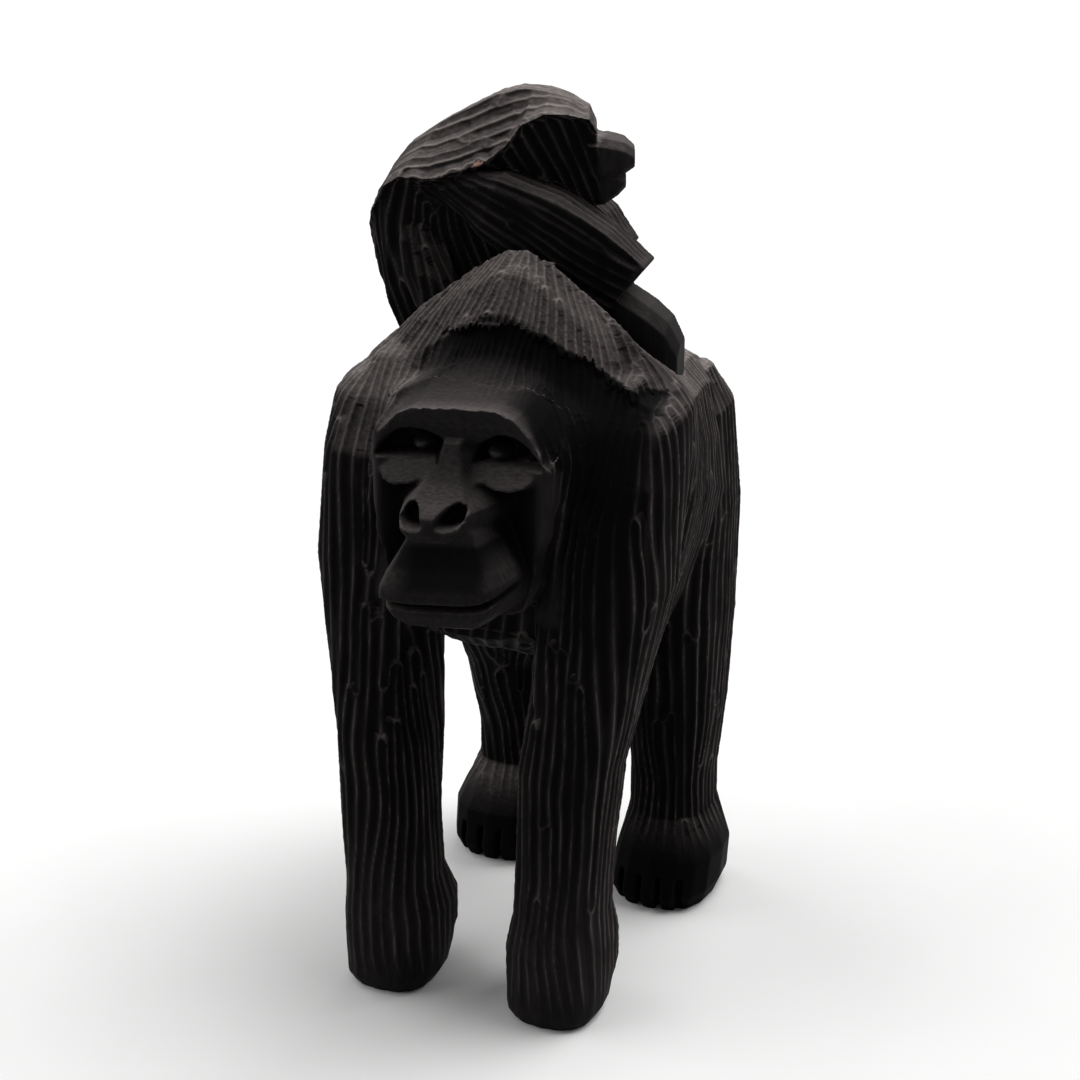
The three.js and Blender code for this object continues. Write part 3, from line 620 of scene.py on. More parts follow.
def face_depth(x, v):
    """How far the face stands in front of the eyes' middle."""
    a = np.abs(x)
    v = leaned(x, v)
    cheek = -2.5 + 6 * smoothstep(15, 27, a) - 0.3 * np.maximum(a - 27.5, 0) ** 2
    depth = largest(cheek, brow_depth(a, v), shelf_depth(a, v))
    depth = depth + (np.minimum(depth, SOCKET_FLOOR + 0.02 * (a - 15) ** 2) - depth) * socket_share(a, v)
    nose = np.abs(x - NOSE_SIDE)
    depth = largest(depth, muzzle_depth(a, v), nose_depth(nose, v))
    return depth - NOSTRIL_DEPTH * nostril_share(nose, v)


def plate_mesh():
    """The front of the head as a closed block whose front is the carved face."""
    xs = np.arange(-FACE_HALF_WIDTH, FACE_HALF_WIDTH + FACE_STEP, FACE_STEP)
    vs = np.arange(FACE_BOTTOM, FACE_TOP + FACE_STEP, FACE_STEP)
    x, v = np.meshgrid(xs, vs, indexing="ij")
    depth = np.maximum(face_depth(x, v), FACE_BACK + 1)
    front = np.stack([x, -depth, v], -1).reshape(-1, 3)
    back = np.stack([x, np.full_like(x, -FACE_BACK), v], -1).reshape(-1, 3)
    count = len(front)
    index = np.arange(count).reshape(len(xs), len(vs))
    faces = []
    for i in range(len(xs) - 1):
        for j in range(len(vs) - 1):
            a, b, c, d = index[i, j], index[i + 1, j], index[i + 1, j + 1], index[i, j + 1]
            faces += [(a, b, c, d), (a + count, d + count, c + count, b + count)]
    rim = [*index[:, 0], *index[-1, 1:], *index[-2::-1, -1], *index[0, -2:0:-1]]
    for i, start in enumerate(rim):
        end = rim[(i + 1) % len(rim)]
        faces.append((end, start, start + count, end + count))
    return closed(mesh_from("face", np.concatenate([front, back]) * MM + np.array(EYES), faces))


def face_mesh():
    """The face plate, trimmed to its outline."""
    rings = []
    for depth in (FACE_FRONT, FACE_BACK):
        half = [(x + flare * (FLARE_FROM - depth), z) for x, z, flare in FACE_OUTLINE]
        ring = half + [(-x, z) for x, z in half[::-1] if x > 0]
        rings.append([eye_point(x, -depth, z) for x, z in ring])
    return combined(plate_mesh(), loft(rings), "INTERSECT")


def skull_shape():
    """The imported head, cut off behind the face."""
    skull = grown_copy("head", GLUE_LAP)
    plane = eye_point(0, SKULL_BACK, 0)
    everything = skull.verts[:] + skull.edges[:] + skull.faces[:]
    bmesh.ops.bisect_plane(skull, geom=everything, plane_co=plane, plane_no=(0, -1, 0), clear_outer=True)
    bmesh.ops.holes_fill(skull, edges=skull.edges)
    return skull


# Ruff between a cheek and the arm: (height over the eyes, how far its front lies behind them)
RUFF = ((18, 31), (12, 25.5), (5, 19.5), (-9, 12.6), (-33, 6.5), (-52, 2.6), (-72, -1), (-84, -2))
RUFF_INNER, RUFF_OUTER, RUFF_DEPTH = 23, 47, 16


def ruff_mesh(side):
    """The plane of hair that runs from the cheek to the front of the arm, down to the armpit."""
    rings = []
    for height, front in RUFF:
        corners = ((RUFF_INNER, 2), (RUFF_INNER + 5, 0), (RUFF_OUTER - 4, 0), (RUFF_OUTER, 1.5),
                   (RUFF_OUTER, RUFF_DEPTH), (RUFF_INNER, RUFF_DEPTH))
        rings.append([eye_point(side * x, front + back, height) for x, back in corners])
    return loft(rings)


# Crest: corners of its wedge, (half width, behind the eyes at the front and back, height over them)
CREST = ((16, 31, 60, 30), (10.4, 45.5, 50, 48.4))
# Shoulders: passes that melt the tops of the arms into the slope of the crest
SHOULDER_PASSES = 70
# Forehead: sections of the cove under the fringe, each (side, height of the ledge over the brow, reach back)
COVE = ((-28, 1, 8), (-25, 4.6, 14), (-20, 9.8, 24), (-14, 12.8, 31), (0, 14.5, 34.5), (14, 15.3, 34.5),
        (20, 13.2, 33), (25, 7.4, 29), (29, -0.5, 24), (31, -4, 22))
COVE_FRONT = 6
COVE_TOP = 60
COVE_STEPS = 16


def cove_mesh():
    """What is cut away between the brow and the fringe: a quarter of an oval that ends in an upright wall."""
    rings = []
    for x, ledge, reach in COVE:
        rise = float(fringe_height(x)) - ledge
        turns = [math.pi / 2 * i / COVE_STEPS for i in range(COVE_STEPS + 1)]
        ring = [(x, reach * math.sin(t) - COVE_FRONT, ledge + rise * (1 - math.cos(t))) for t in turns]
        ring.append((x, -COVE_FRONT, COVE_TOP))
        rings.append([eye_point(*point) for point in ring])
    return loft(rings)


def crest_mesh():
    """The flat-topped wedge of the crest."""
    rings = []
    for half, front, back, height in CREST:
        corners = ((-half, front), (half, front), (half, back), (-half, back))
        rings.append([eye_point(x, y, height) for x, y in corners])
    return loft(rings)


def melted_shoulders(mesh):
    """Relaxes the skin where the arms' tops meet the crest, so that no ledge is left there."""
    points, edges = points_of(mesh), edges_of(mesh)
    x, y, z = from_eyes(points)
    weight = smoothstep(25, 31, np.abs(x)) * band(y, (5, 11), (62, 50)) * band(z, (-16, -6), (30, 22))
    weight = weight[:, None]
    for _ in range(SHOULDER_PASSES):
        points = points + 0.7 * weight * (neighbour_mean(points, edges) - points)
    set_points(mesh, points)
    return mesh


def adult_blank(voxel):
    shapes = [grown_copy(node, GLUE_LAP) for node in ADULT_NODES if node != "head"]
    shapes += [skull_shape(), shape_of(face_mesh()), shape_of(ruff_mesh(1)), shape_of(ruff_mesh(-1))]
    blank = combined(remeshed(shapes, voxel), cove_mesh(), "DIFFERENCE")
    crest = combined(remeshed([shape_of(blank), shape_of(crest_mesh())], voxel), cove_mesh(), "DIFFERENCE")
    return melted_shoulders(remeshed([shape_of(crest)], voxel))


# Fringe of hair over the forehead and shoulders: its height over the eyes, its step, and the tongues along it
FRINGE = ((0, 32.7), (9, 32), (15, 30.6), (21, 27), (26, 24.5), (32, 21), (39, 18.2), (47, 15.2), (53, 12.4),
          (60, 10))
FRINGE_STEP = 3.2
SHOULDER_STEP = 1.3
FRINGE_TONGUE = 1.8
FRINGE_RAGGED = 1.6
FRINGE_FADE = (2, 16)
FOREHEAD_SIDE = ((8, -25), (14, -27), (28, -20), (33, -16))
# Painted shade, as a share: under the fringe, on the ledge behind the brow, what the plane of hair by the left
# arm adds, on the shoulder, nose, cheeks, muzzle, hind feet and the young's sleeves
FOREHEAD_SHADE = 0.92
LEDGE_SHADE = 0.6
PLANE_SHADE = 0.06
SHOULDER_SHADE = 0.4
NOSE_SHADE = 0.25
CHEEK_SHADE = 0.85
MUZZLE_SHADE = 0.9
FOOT_SHADE = 0.75
SLEEVE_SHADE = 0.45
# Zones: behind the eyes where the hind legs begin, and heights over the floor where cuts fade out and where
# the painted light on the hands ends
HIND_LEGS = (40, 50)
HIND_ANKLE = (34, 20)
SOLES = (2, 22)
HAND_PAINTED_LIGHT = (80, 15)


def from_eyes(points):
    """Columns of millimetres to the side, back and up from the point between the eyes."""
    return ((points - np.array(EYES)) / MM).T


def fringe_height(x):
    return along_profile(np.abs(x), FRINGE)


def fringe_recess(points, normals, share):
    """How far the forehead and shoulders lie back under the fringe, where each cut ends in a tongue."""
    x, y, z = from_eyes(points)
    ragged = FRINGE_RAGGED * np.sin(x * 0.37) * np.sin(x * 0.13 + 1)
    under = fringe_height(x) - FRINGE_TONGUE * (1 - share**2) + ragged - z
    cove = smoothstep(0, 0.5, under) * (1 - smoothstep(*FRINGE_FADE, under))
    side = along_profile(z, FOREHEAD_SIDE)
    reach = band(x, (side - 3, side + 6), (60, 44))
    step = FRINGE_STEP + (SHOULDER_STEP - FRINGE_STEP) * smoothstep(12, 30, x)
    place = band(y, (12, 18), (60, 50)) * smoothstep(-0.1, -0.4, normals[:, 1])
    return step * MM * cove * reach * place


def over_brow(x, z):
    """Height over the edge of the brow."""
    return leaned(x, z) - along_profile(np.abs(x), BROW_EDGE)


def forehead_shade(points, normals):
    """Painted shade under the fringe, on the plane of hair from it to the left arm, and on the shoulder."""
    x, y, z = from_eyes(points)
    under = fringe_height(x) - z
    plane = smoothstep(12, 24, x)
    wall = LEDGE_SHADE + (1 - LEDGE_SHADE) * smoothstep(19, 8, under)
    fall = wall * (1 - plane) + plane * smoothstep(95, 25, under)
    side = along_profile(z, FOREHEAD_SIDE)
    reach = band(x, (side - 2, side + 10), (58, 50))
    behind = y + along_profile(np.abs(x), BROW_OUT)
    off_face = smoothstep(-0.8, 0.4, over_brow(x, z)) * smoothstep(0.5, 5, behind)
    off_face = np.maximum(off_face, smoothstep(30, 34, x))
    facing = smoothstep(0.4, 0.1, normals[:, 1]) * smoothstep(62, 52, y)
    shoulder = SHOULDER_SHADE * smoothstep(30, 40, x) * band(z, (12, 20), (40, 30))
    dark = (FOREHEAD_SHADE + PLANE_SHADE * plane) * smoothstep(0.3, 1.2, under) * fall * reach * off_face
    return np.maximum(dark, shoulder) * facing


def hollow_shade(points):
    """Painted shade in the sockets, nostrils, mouth and hollows of the face, and low on the hind feet."""
    x, y, z = from_eyes(points)
    a, v = np.abs(x), leaned(x, z)
    cheek = CHEEK_SHADE * smoothstep(-9, -3, y) * band(v, (-7, -11), (-48, -40)) * smoothstep(29, 25, a)
    muzzle = MUZZLE_SHADE * smoothstep(21, 10, np.abs(x - 3)) * band(v, (-25, -28), (-45.5, -38))
    nose = NOSE_SHADE * smoothstep(10, 7, a) * band(v, (-1, -5), (-25, -20))
    nostril = nostril_share(np.abs(x - NOSE_SIDE), v)
    face = largest(socket_share(a, v), nostril, mouth_share(a, v), nose, cheek, muzzle)
    feet = FOOT_SHADE * smoothstep(44, 52, y) * smoothstep(34 * MM, 18 * MM, points[:, 2])
    return np.maximum(feet, smoothstep(10, 5, y) * face)


def adult_grain(point, normal):
    """Cuts run down the slope, and along the body where the skin lies level."""
    level = smoothstep(0.80, 0.95, abs(normal.z))
    lengthwise = Vector((0.5, -0.85, 0)) if normal.z < 0 else Vector((0.1, -1, 0))
    return Vector((0, 0, -1)) * (1 - level) + lengthwise * level


def adult_spacing(point):
    over = (point - EYES).z / MM
    return (CREST_SPACING + (BODY_SPACING - CREST_SPACING) * float(smoothstep(14, 0, over))) * uneven(point)


def adult_roughing(points, normals):
    """Share of the full depth of the cuts at each point: none on the face, forehead, toes and soles."""
    x, y, z = from_eyes(points)
    floor = points[:, 2] / MM
    face = smoothstep(8, 2, y) * smoothstep(34, 30.5, np.abs(x)) * band(z, (-58, -54), (18.5, 16.5))
    face = face * (1 - smoothstep(15, 22, x) * smoothstep(0.4, 2, over_brow(x, z)))
    side = along_profile(z, FOREHEAD_SIDE)
    forehead = band(x, (side - 1, side + 2), (30, 20)) * (0.45 + 0.55 * smoothstep(10, -6, x))
    forehead = forehead * smoothstep(0, 1.5, fringe_height(x) - z) * smoothstep(9, 12, z)
    temple = smoothstep(20, 8, y) * smoothstep(44, 34, np.abs(x)) * band(z, (0, 6), (22, 16))
    ankle = 1 - smoothstep(*HIND_LEGS, y) * smoothstep(*HIND_ANKLE, floor)
    off_head = (1 - face) * (1 - 0.4 * temple) * (1 - forehead * (normals[:, 1] < 0))
    return off_head * ankle * smoothstep(*SOLES, floor)


def adult_painted_light(points, rough):
    """How far the colour is painted paler: painted sheen all over the smooth face, painted light thrown up
    from the floor on the hands, and little on the feet.
    """
    _, y, _ = from_eyes(points)
    hind = smoothstep(*HIND_LEGS, y)
    hands = 0.75 * (1 - hind) * smoothstep(*HAND_PAINTED_LIGHT, points[:, 2] / MM)
    return np.maximum((1 - rough) * (1 - 0.75 * hind), hands)


# Young: sections of its back, (along, ridge height, eave half width, eave height, wall half width, bottom)
YOUNG_BACK = (
    (-49, 38.5, 7, 34, 6, 29), (-45.5, 47, 14, 41.5, 12, 22), (-40, 55.5, 19, 50, 16, 9),
    (-34, 63, 21, 54, 16, -6), (-24, 69.8, 21.5, 54, 15, -6), (-14, 75.4, 21.5, 56.5, 14, -6),
    (-5, 80, 21, 60, 13.5, -6), (2, 82, 19.5, 65.5, 13, -6), (7, 82, 18, 72.5, 12, -4),
    (12, 81.4, 17, 76, 11, 2), (18, 80, 15, 76, 10, 12), (25, 76.4, 12.5, 74.4, 9.5, 40),
    (27.4, 71, 10.5, 70, 9, 48),
)
HEAD_TURN = ((7, 0), (18, 0.26))
RIDGE_HALF = 5
EAVE_THICKNESS = 3
# Muzzle and jaw: (along, top, bottom, half width)
YOUNG_MUZZLE = ((24, 68, 53, 10), (31, 67.5, 55.5, 10), (36.5, 66.5, 56.4, 9), (40, 64, 58.4, 6.5))
YOUNG_JAW = ((22, 58, 44, 8), (30, 57.5, 46, 8.5), (34.5, 57, 49, 7.5), (37.2, 55.6, 51.5, 5.5))
# Sleeve: (share of the reach along, height, reach up and down across the path, outer face, inner face)
YOUNG_SLEEVE = ((-0.60, 50, 3, 4, 14.5, 8), (-0.38, 51.5, 4, 7, 18, 8), (-0.20, 50.5, 6.5, 9, 21, 8),
                (-0.05, 47, 11, 11, 24, 8), (0.30, 40, 12, 14, 26.5, 8), (0.60, 31, 12, 18, 26, 8),
                (0.83, 21.5, 11, 17, 25, 8))
LIMB_CHAMFER = 2.2
# Direction of the sleeve, along and down, the share of the reach where it ends, and how far before it cuts end
SLEEVE_FALL = (0.86, 0.48)
SLEEVE_END = 0.83
CUFF = 12
# Hand: (share of the reach along, top, bottom, outer face)
YOUNG_HAND = ((0.70, 24, 6, 23), (0.84, 21, -2, 23.8), (0.99, 16.5, -6, 24), (1.10, 11.5, -8, 22.6),
              (1.17, 4, -8, 20))
HAND_INNER = 8
HAND_FACET = (4.5, 3.6)
# Thigh and shank: (along, across, height, half width)
YOUNG_LEG = ((-30.5, 7, 44, 8), (-29.5, 10, 32, 10.5), (-26, 13.5, 22, 10.8), (-21, 16, 13, 10),
             (-14.5, 18, 2, 9), (-8.5, 19, -10, 8))
LEG_SIDES = 8
LEG_FLATNESS = 0.8
LEG_LEAN = 0.38
REACH = {"young_right_arm": 51, "young_left_arm": 34}
SIDES = {"young_right_arm": -1, "young_left_arm": 1}
CHIP = (-6.5, -20.5, 59.5)
CHIP_SIZE = 1.5


def young_ring(x, half):
    """A ring across the young from the points of its near half, top to bottom, turned with its head."""
    turn = along_profile(x, HEAD_TURN)
    return [young_point(x - turn * y, y, z) for y, z in half + [(-y, z) for y, z in half[::-1]]]


def young_back():
    rings = []
    for x, ridge, eave, height, wall, bottom in YOUNG_BACK:
        half = [(RIDGE_HALF, ridge), (eave, height), (wall, height - EAVE_THICKNESS), (wall - 2, bottom)]
        rings.append(young_ring(x, half))
    return loft(rings)


def young_snout(sections):
    """A chamfered block, as the muzzle and the jaw are."""
    rings = []
    for x, top, bottom, wide in sections:
        half = [(wide - 3, top), (wide, top - 2.5), (wide, bottom + 2), (wide - 2, bottom)]
        rings.append(young_ring(x, half))
    return loft(rings)


def young_leg(side):
    rings = []
    for x, y, z, wide in YOUNG_LEG:
        ring = []
        for i in range(LEG_SIDES):
            turn = 2 * math.pi * (i + 0.5) / LEG_SIDES
            across = side * y + LEG_FLATNESS * wide * math.sin(turn)
            ring.append(young_point(x + wide * math.cos(turn), across, z))
        rings.append(ring)
    return loft(rings)


def young_limb(sections, node):
    """A chamfered block along a path that slopes down beside the body."""
    side, reach = SIDES[node], REACH[node]
    path = [Vector((share * reach, height)) for share, height, *_ in sections]
    rings = []
    for i, (_, _, above, below, outer, inner) in enumerate(sections):
        along = (path[min(i + 1, len(path) - 1)] - path[max(i - 1, 0)]).normalized()
        over = Vector((-along.y, along.x))
        edge = LIMB_CHAMFER
        corners = [(outer - edge, above), (outer, above - 2 * edge), (outer, 2 * edge - below),
                   (outer - edge, -below), (inner, -below), (inner, above)]
        places = [(path[i] + over * up, side * y) for y, up in corners]
        rings.append([young_point(place.x, y, place.y) for place, y in places])
    return loft(rings)


def young_hand(node):
    """A short block with a broad facet along its outer upper edge."""
    rings = []
    for share, top, bottom, outer in YOUNG_HAND:
        across, down = HAND_FACET
        corners = [(HAND_INNER, top), (outer - across, top), (outer, top - down), (outer, bottom),
                   (HAND_INNER, bottom)]
        rings.append([young_point(share * REACH[node], SIDES[node] * y, z) for y, z in corners])
    return loft(rings)


def young_arm_blank(node, voxel, seat):
    shapes = [shape_of(young_limb(YOUNG_SLEEVE, node)), shape_of(young_hand(node))]
    return combined(remeshed(shapes, voxel), seat.copy(), "DIFFERENCE")


def young_body_blank(voxel, seat, arms):
    solids = [young_back(), young_snout(YOUNG_MUZZLE), young_snout(YOUNG_JAW), young_leg(-1), young_leg(1)]
    blank = remeshed([shape_of(solid) for solid in solids], voxel)
    for other in (seat, *arms):
        blank = combined(blank, other.copy(), "DIFFERENCE")
    return blank


def in_young_frame(point):
    offset = (point - YOUNG_SEAT) / MM
    return offset.dot(YOUNG_ALONG), offset.dot(YOUNG_ACROSS), offset.z


def young_grain(point, normal):
    """Cuts run along the back from crown to rump, and down the walls, legs and sides of the head."""
    x, _, z = in_young_frame(point)
    roof = float(smoothstep(0.15, 0.35, normal.z) * smoothstep(34, 42, z))
    high = float(smoothstep(26, 48, z))
    fan = YOUNG_ALONG * (float(np.clip((x + 22) / 60, -0.35, 0.5)) * high + LEG_LEAN * (1 - high))
    down = fan - UP
    lengthwise = -YOUNG_ALONG - 0.3 * UP
    return lengthwise * roof + down * (1 - roof)


def sleeve_grain(point, normal):
    """Cuts run down the sleeve."""
    return YOUNG_ALONG * SLEEVE_FALL[0] - UP * SLEEVE_FALL[1]


def uneven(point):
    """How much wider or narrower than usual the cuts are at a place."""
    return float(np.clip(1 + SPACING_SPREAD * noise.noise(point / SPACING_SCALE), *SPACING_RANGE))


def young_spacing(point):
    return YOUNG_SPACING * uneven(point)


def sleeve_spacing(point):
    return SLEEVE_SPACING * uneven(point)


def young_body_roughing(points, normals):
    """Cuts everywhere but on the muzzle and jaw."""
    offset = (points - np.array(YOUNG_SEAT)) / MM
    return 1 - smoothstep(29, 32, offset @ np.array(YOUNG_ALONG))


def young_arm_roughing(node):
    """Cuts down the sleeve and none on the hand."""
    end = SLEEVE_END * REACH[node] * SLEEVE_FALL[0] - CUFF

    def roughing(points, normals):
        offset = (points - np.array(YOUNG_SEAT)) / MM
        down = offset @ np.array(YOUNG_ALONG) * SLEEVE_FALL[0] - offset[:, 2] * SLEEVE_FALL[1]
        return 1 - smoothstep(0, 3, down - end)
    return roughing


# Pieces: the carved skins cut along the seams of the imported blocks

FAR = 1.0
GLUE_GAP = 0.02 * MM
ARMPIT_RISE = 4 * MM
BLOCK_LAP = 1 * MM
SEAM_ANGLE = math.radians(55)
YOUNG_NECK = -9
YOUNG_THROAT = 45
YOUNG_FAR = 200


def box_between(low, high):
    rings = []
    for x in (low[0], high[0]):
        rings.append([(x, low[1], low[2]), (x, high[1], low[2]), (x, high[1], high[2]), (x, low[1], high[2])])
    return loft(rings)


def adult_blocks():
    """The block of wood that each of the adult's pieces is carved from, as a list of boxes."""
    low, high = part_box("trunk")
    gap = GLUE_GAP / 2
    inner_low, inner_high = low.x - gap, high.x + gap
    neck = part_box("head")[1].y + gap
    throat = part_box("head")[0].z - gap
    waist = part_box("left_arm")[1].y + gap
    groin = low.z - gap
    armpit = groin + ARMPIT_RISE
    middle = EYES.x
    return {
        "head": [((inner_low, -FAR, throat), (inner_high, neck, FAR))],
        "trunk": [((inner_low, -FAR, armpit), (inner_high, waist + BLOCK_LAP, throat)),
                  ((inner_low, neck, throat - BLOCK_LAP), (inner_high, waist + BLOCK_LAP, FAR)),
                  ((inner_low, waist, groin), (inner_high, FAR, FAR))],
        "left_arm": [((inner_high, -FAR, armpit - BLOCK_LAP), (FAR, waist, FAR)),
                     ((middle, -FAR, -FAR), (FAR, waist, armpit))],
        "right_arm": [((-FAR, -FAR, armpit - BLOCK_LAP), (inner_low, waist, FAR)),
                      ((-FAR, -FAR, -FAR), (middle, waist, armpit))],
        "left_leg": [((inner_high, waist, groin - BLOCK_LAP), (FAR, FAR, FAR)),
                     ((middle, waist, -FAR), (FAR, FAR, groin))],
        "right_leg": [((-FAR, waist, groin - BLOCK_LAP), (inner_low, FAR, FAR)),
                      ((-FAR, waist, -FAR), (middle, FAR, groin))],
    }


def joined_boxes(boxes):
    whole = box_between(*boxes[0])
    for box in boxes[1:]:
        whole = combined(whole, box_between(*box), "UNION")
    return whole


def young_head_block():
    far = YOUNG_FAR
    corners = ((-far, YOUNG_THROAT), (far, YOUNG_THROAT), (far, far), (-far, far))
    return loft([[young_point(x, y, z) for y, z in corners] for x in (YOUNG_NECK, far)])


def add_piece(node, mesh, material):
    """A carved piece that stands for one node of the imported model."""
    mesh.materials.clear()
    mesh.materials.append(material)
    mesh.polygons.foreach_set("material_index", [0] * len(mesh.polygons))
    mesh.shade_smooth()
    mesh.set_sharp_from_angle(angle=SEAM_ANGLE)
    piece = new_object("carved_" + node, mesh)
    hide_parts(node)
    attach(piece, "root")
    return piece


# Eyes: flattened domes standing on the floors of the sockets, radii in millimetres
EYE_RADII = (4.0, 7.6, 2.9)
EYE_SEAT = -SOCKET_FLOOR - 0.3
EYE_SHIFT = Vector((-1.4, 0, -0.9))
EYE_TILT = math.radians(-8)
EYE_RINGS = 14
EYE_SIDES = 36


def eye_mesh(side):
    """Half of a squashed ball, a little pointed towards its corners."""
    rings = []
    for i in range(EYE_RINGS):
        rise = math.pi / 2 * i / EYE_RINGS
        ring = []
        for j in range(EYE_SIDES):
            turn = 2 * math.pi * j / EYE_SIDES
            across = EYE_RADII[0] * math.cos(turn) * abs(math.cos(turn)) ** 0.12 * math.cos(rise)
            up = EYE_RADII[2] * math.sin(turn) * math.cos(rise)
            out = EYE_RADII[1] * math.sin(rise) - EYE_SEAT
            turned = across * math.cos(EYE_TILT * side) - up * math.sin(EYE_TILT * side)
            raised = across * math.sin(EYE_TILT * side) + up * math.cos(EYE_TILT * side)
            place = Vector((side * EYE_REACH / MM + turned, -out, raised)) + EYE_SHIFT
            ring.append(eye_point(*place))
        rings.append(ring)
    return loft(rings)


# Finishes: black stain over wood, with ridges rubbed through to a warm grey, and painted light and shade on
# top of it

STAIN = (0.0032, 0.0028, 0.0032, 1)
STAIN_LIGHT = (0.0095, 0.0084, 0.0087, 1)
# Ridges rubbed through to warm grey, with painted light where lamps from the sides and behind would catch them
RUBBED_AND_LIT = (0.25, 0.216, 0.205, 1)
# Painted top light: a pale grey painted on surfaces that face upwards
PAINTED_TOP_LIGHT = (0.340, 0.300, 0.288, 1)
# A lighter grey painted on the smooth face and hands: painted sheen, and on the adult's hands painted light
# thrown up from the floor
PAINTED_LIGHT_GREY = (0.030, 0.027, 0.027, 1)
BARE_WOOD = (0.42, 0.27, 0.21, 1)
EYE_DARK, EYE_LIGHT = (0.010, 0.009, 0.009, 1), (0.024, 0.021, 0.021, 1)
DOWEL_DARK, DOWEL_LIGHT = (0.50, 0.33, 0.19, 1), (0.66, 0.48, 0.30, 1)
DOWEL_FLECK = (0.36, 0.22, 0.12, 1)


class Nodes:
    """The node tree of a material or world, with its nodes added and wired in one call each."""

    def __init__(self, owner, shader="Principled BSDF"):
        owner.use_nodes = True
        self.owner = owner
        self.tree = owner.node_tree
        self.shader = self.tree.nodes[shader]

    def add(self, kind, inputs=None, **settings):
        node = self.tree.nodes.new("ShaderNode" + kind)
        for name, value in settings.items():
            setattr(node, name, value)
        for name, value in (inputs or {}).items():
            if isinstance(value, bpy.types.NodeSocket):
                self.tree.links.new(value, node.inputs[name])
            else:
                node.inputs[name].default_value = value
        return node

    def math(self, operation, first, second):
        return self.add("Math", {0: first, 1: second}, operation=operation).outputs[0]

    def mix(self, factor, first, second):
        node = self.add("Mix", {"Factor": factor, "A": first, "B": second}, data_type="RGBA")
        return node.outputs["Result"]

    def spread(self, value, low, high, start=0.0, end=1.0):
        """A value carried from one range to another."""
        inputs = {"Value": value, "From Min": low, "From Max": high, "To Min": start, "To Max": end}
        return self.add("MapRange", inputs).outputs["Result"]

    def noise(self, scale, stretch=(1, 1, 1), detail=3.0, roughness=0.55):
        place = self.add("TexCoord").outputs["Object"]
        mapped = self.add("Mapping", {"Vector": place, "Scale": stretch}).outputs["Vector"]
        inputs = {"Vector": mapped, "Scale": scale, "Detail": detail, "Roughness": roughness}
        return self.add("TexNoise", inputs).outputs["Fac"]

    def wire(self, value, socket):
        self.tree.links.new(value, self.shader.inputs[socket])

    def bump(self, height, strength, distance):
        bump = self.add("Bump", {"Height": height, "Strength": strength, "Distance": distance})
        self.wire(bump.outputs["Normal"], "Normal")


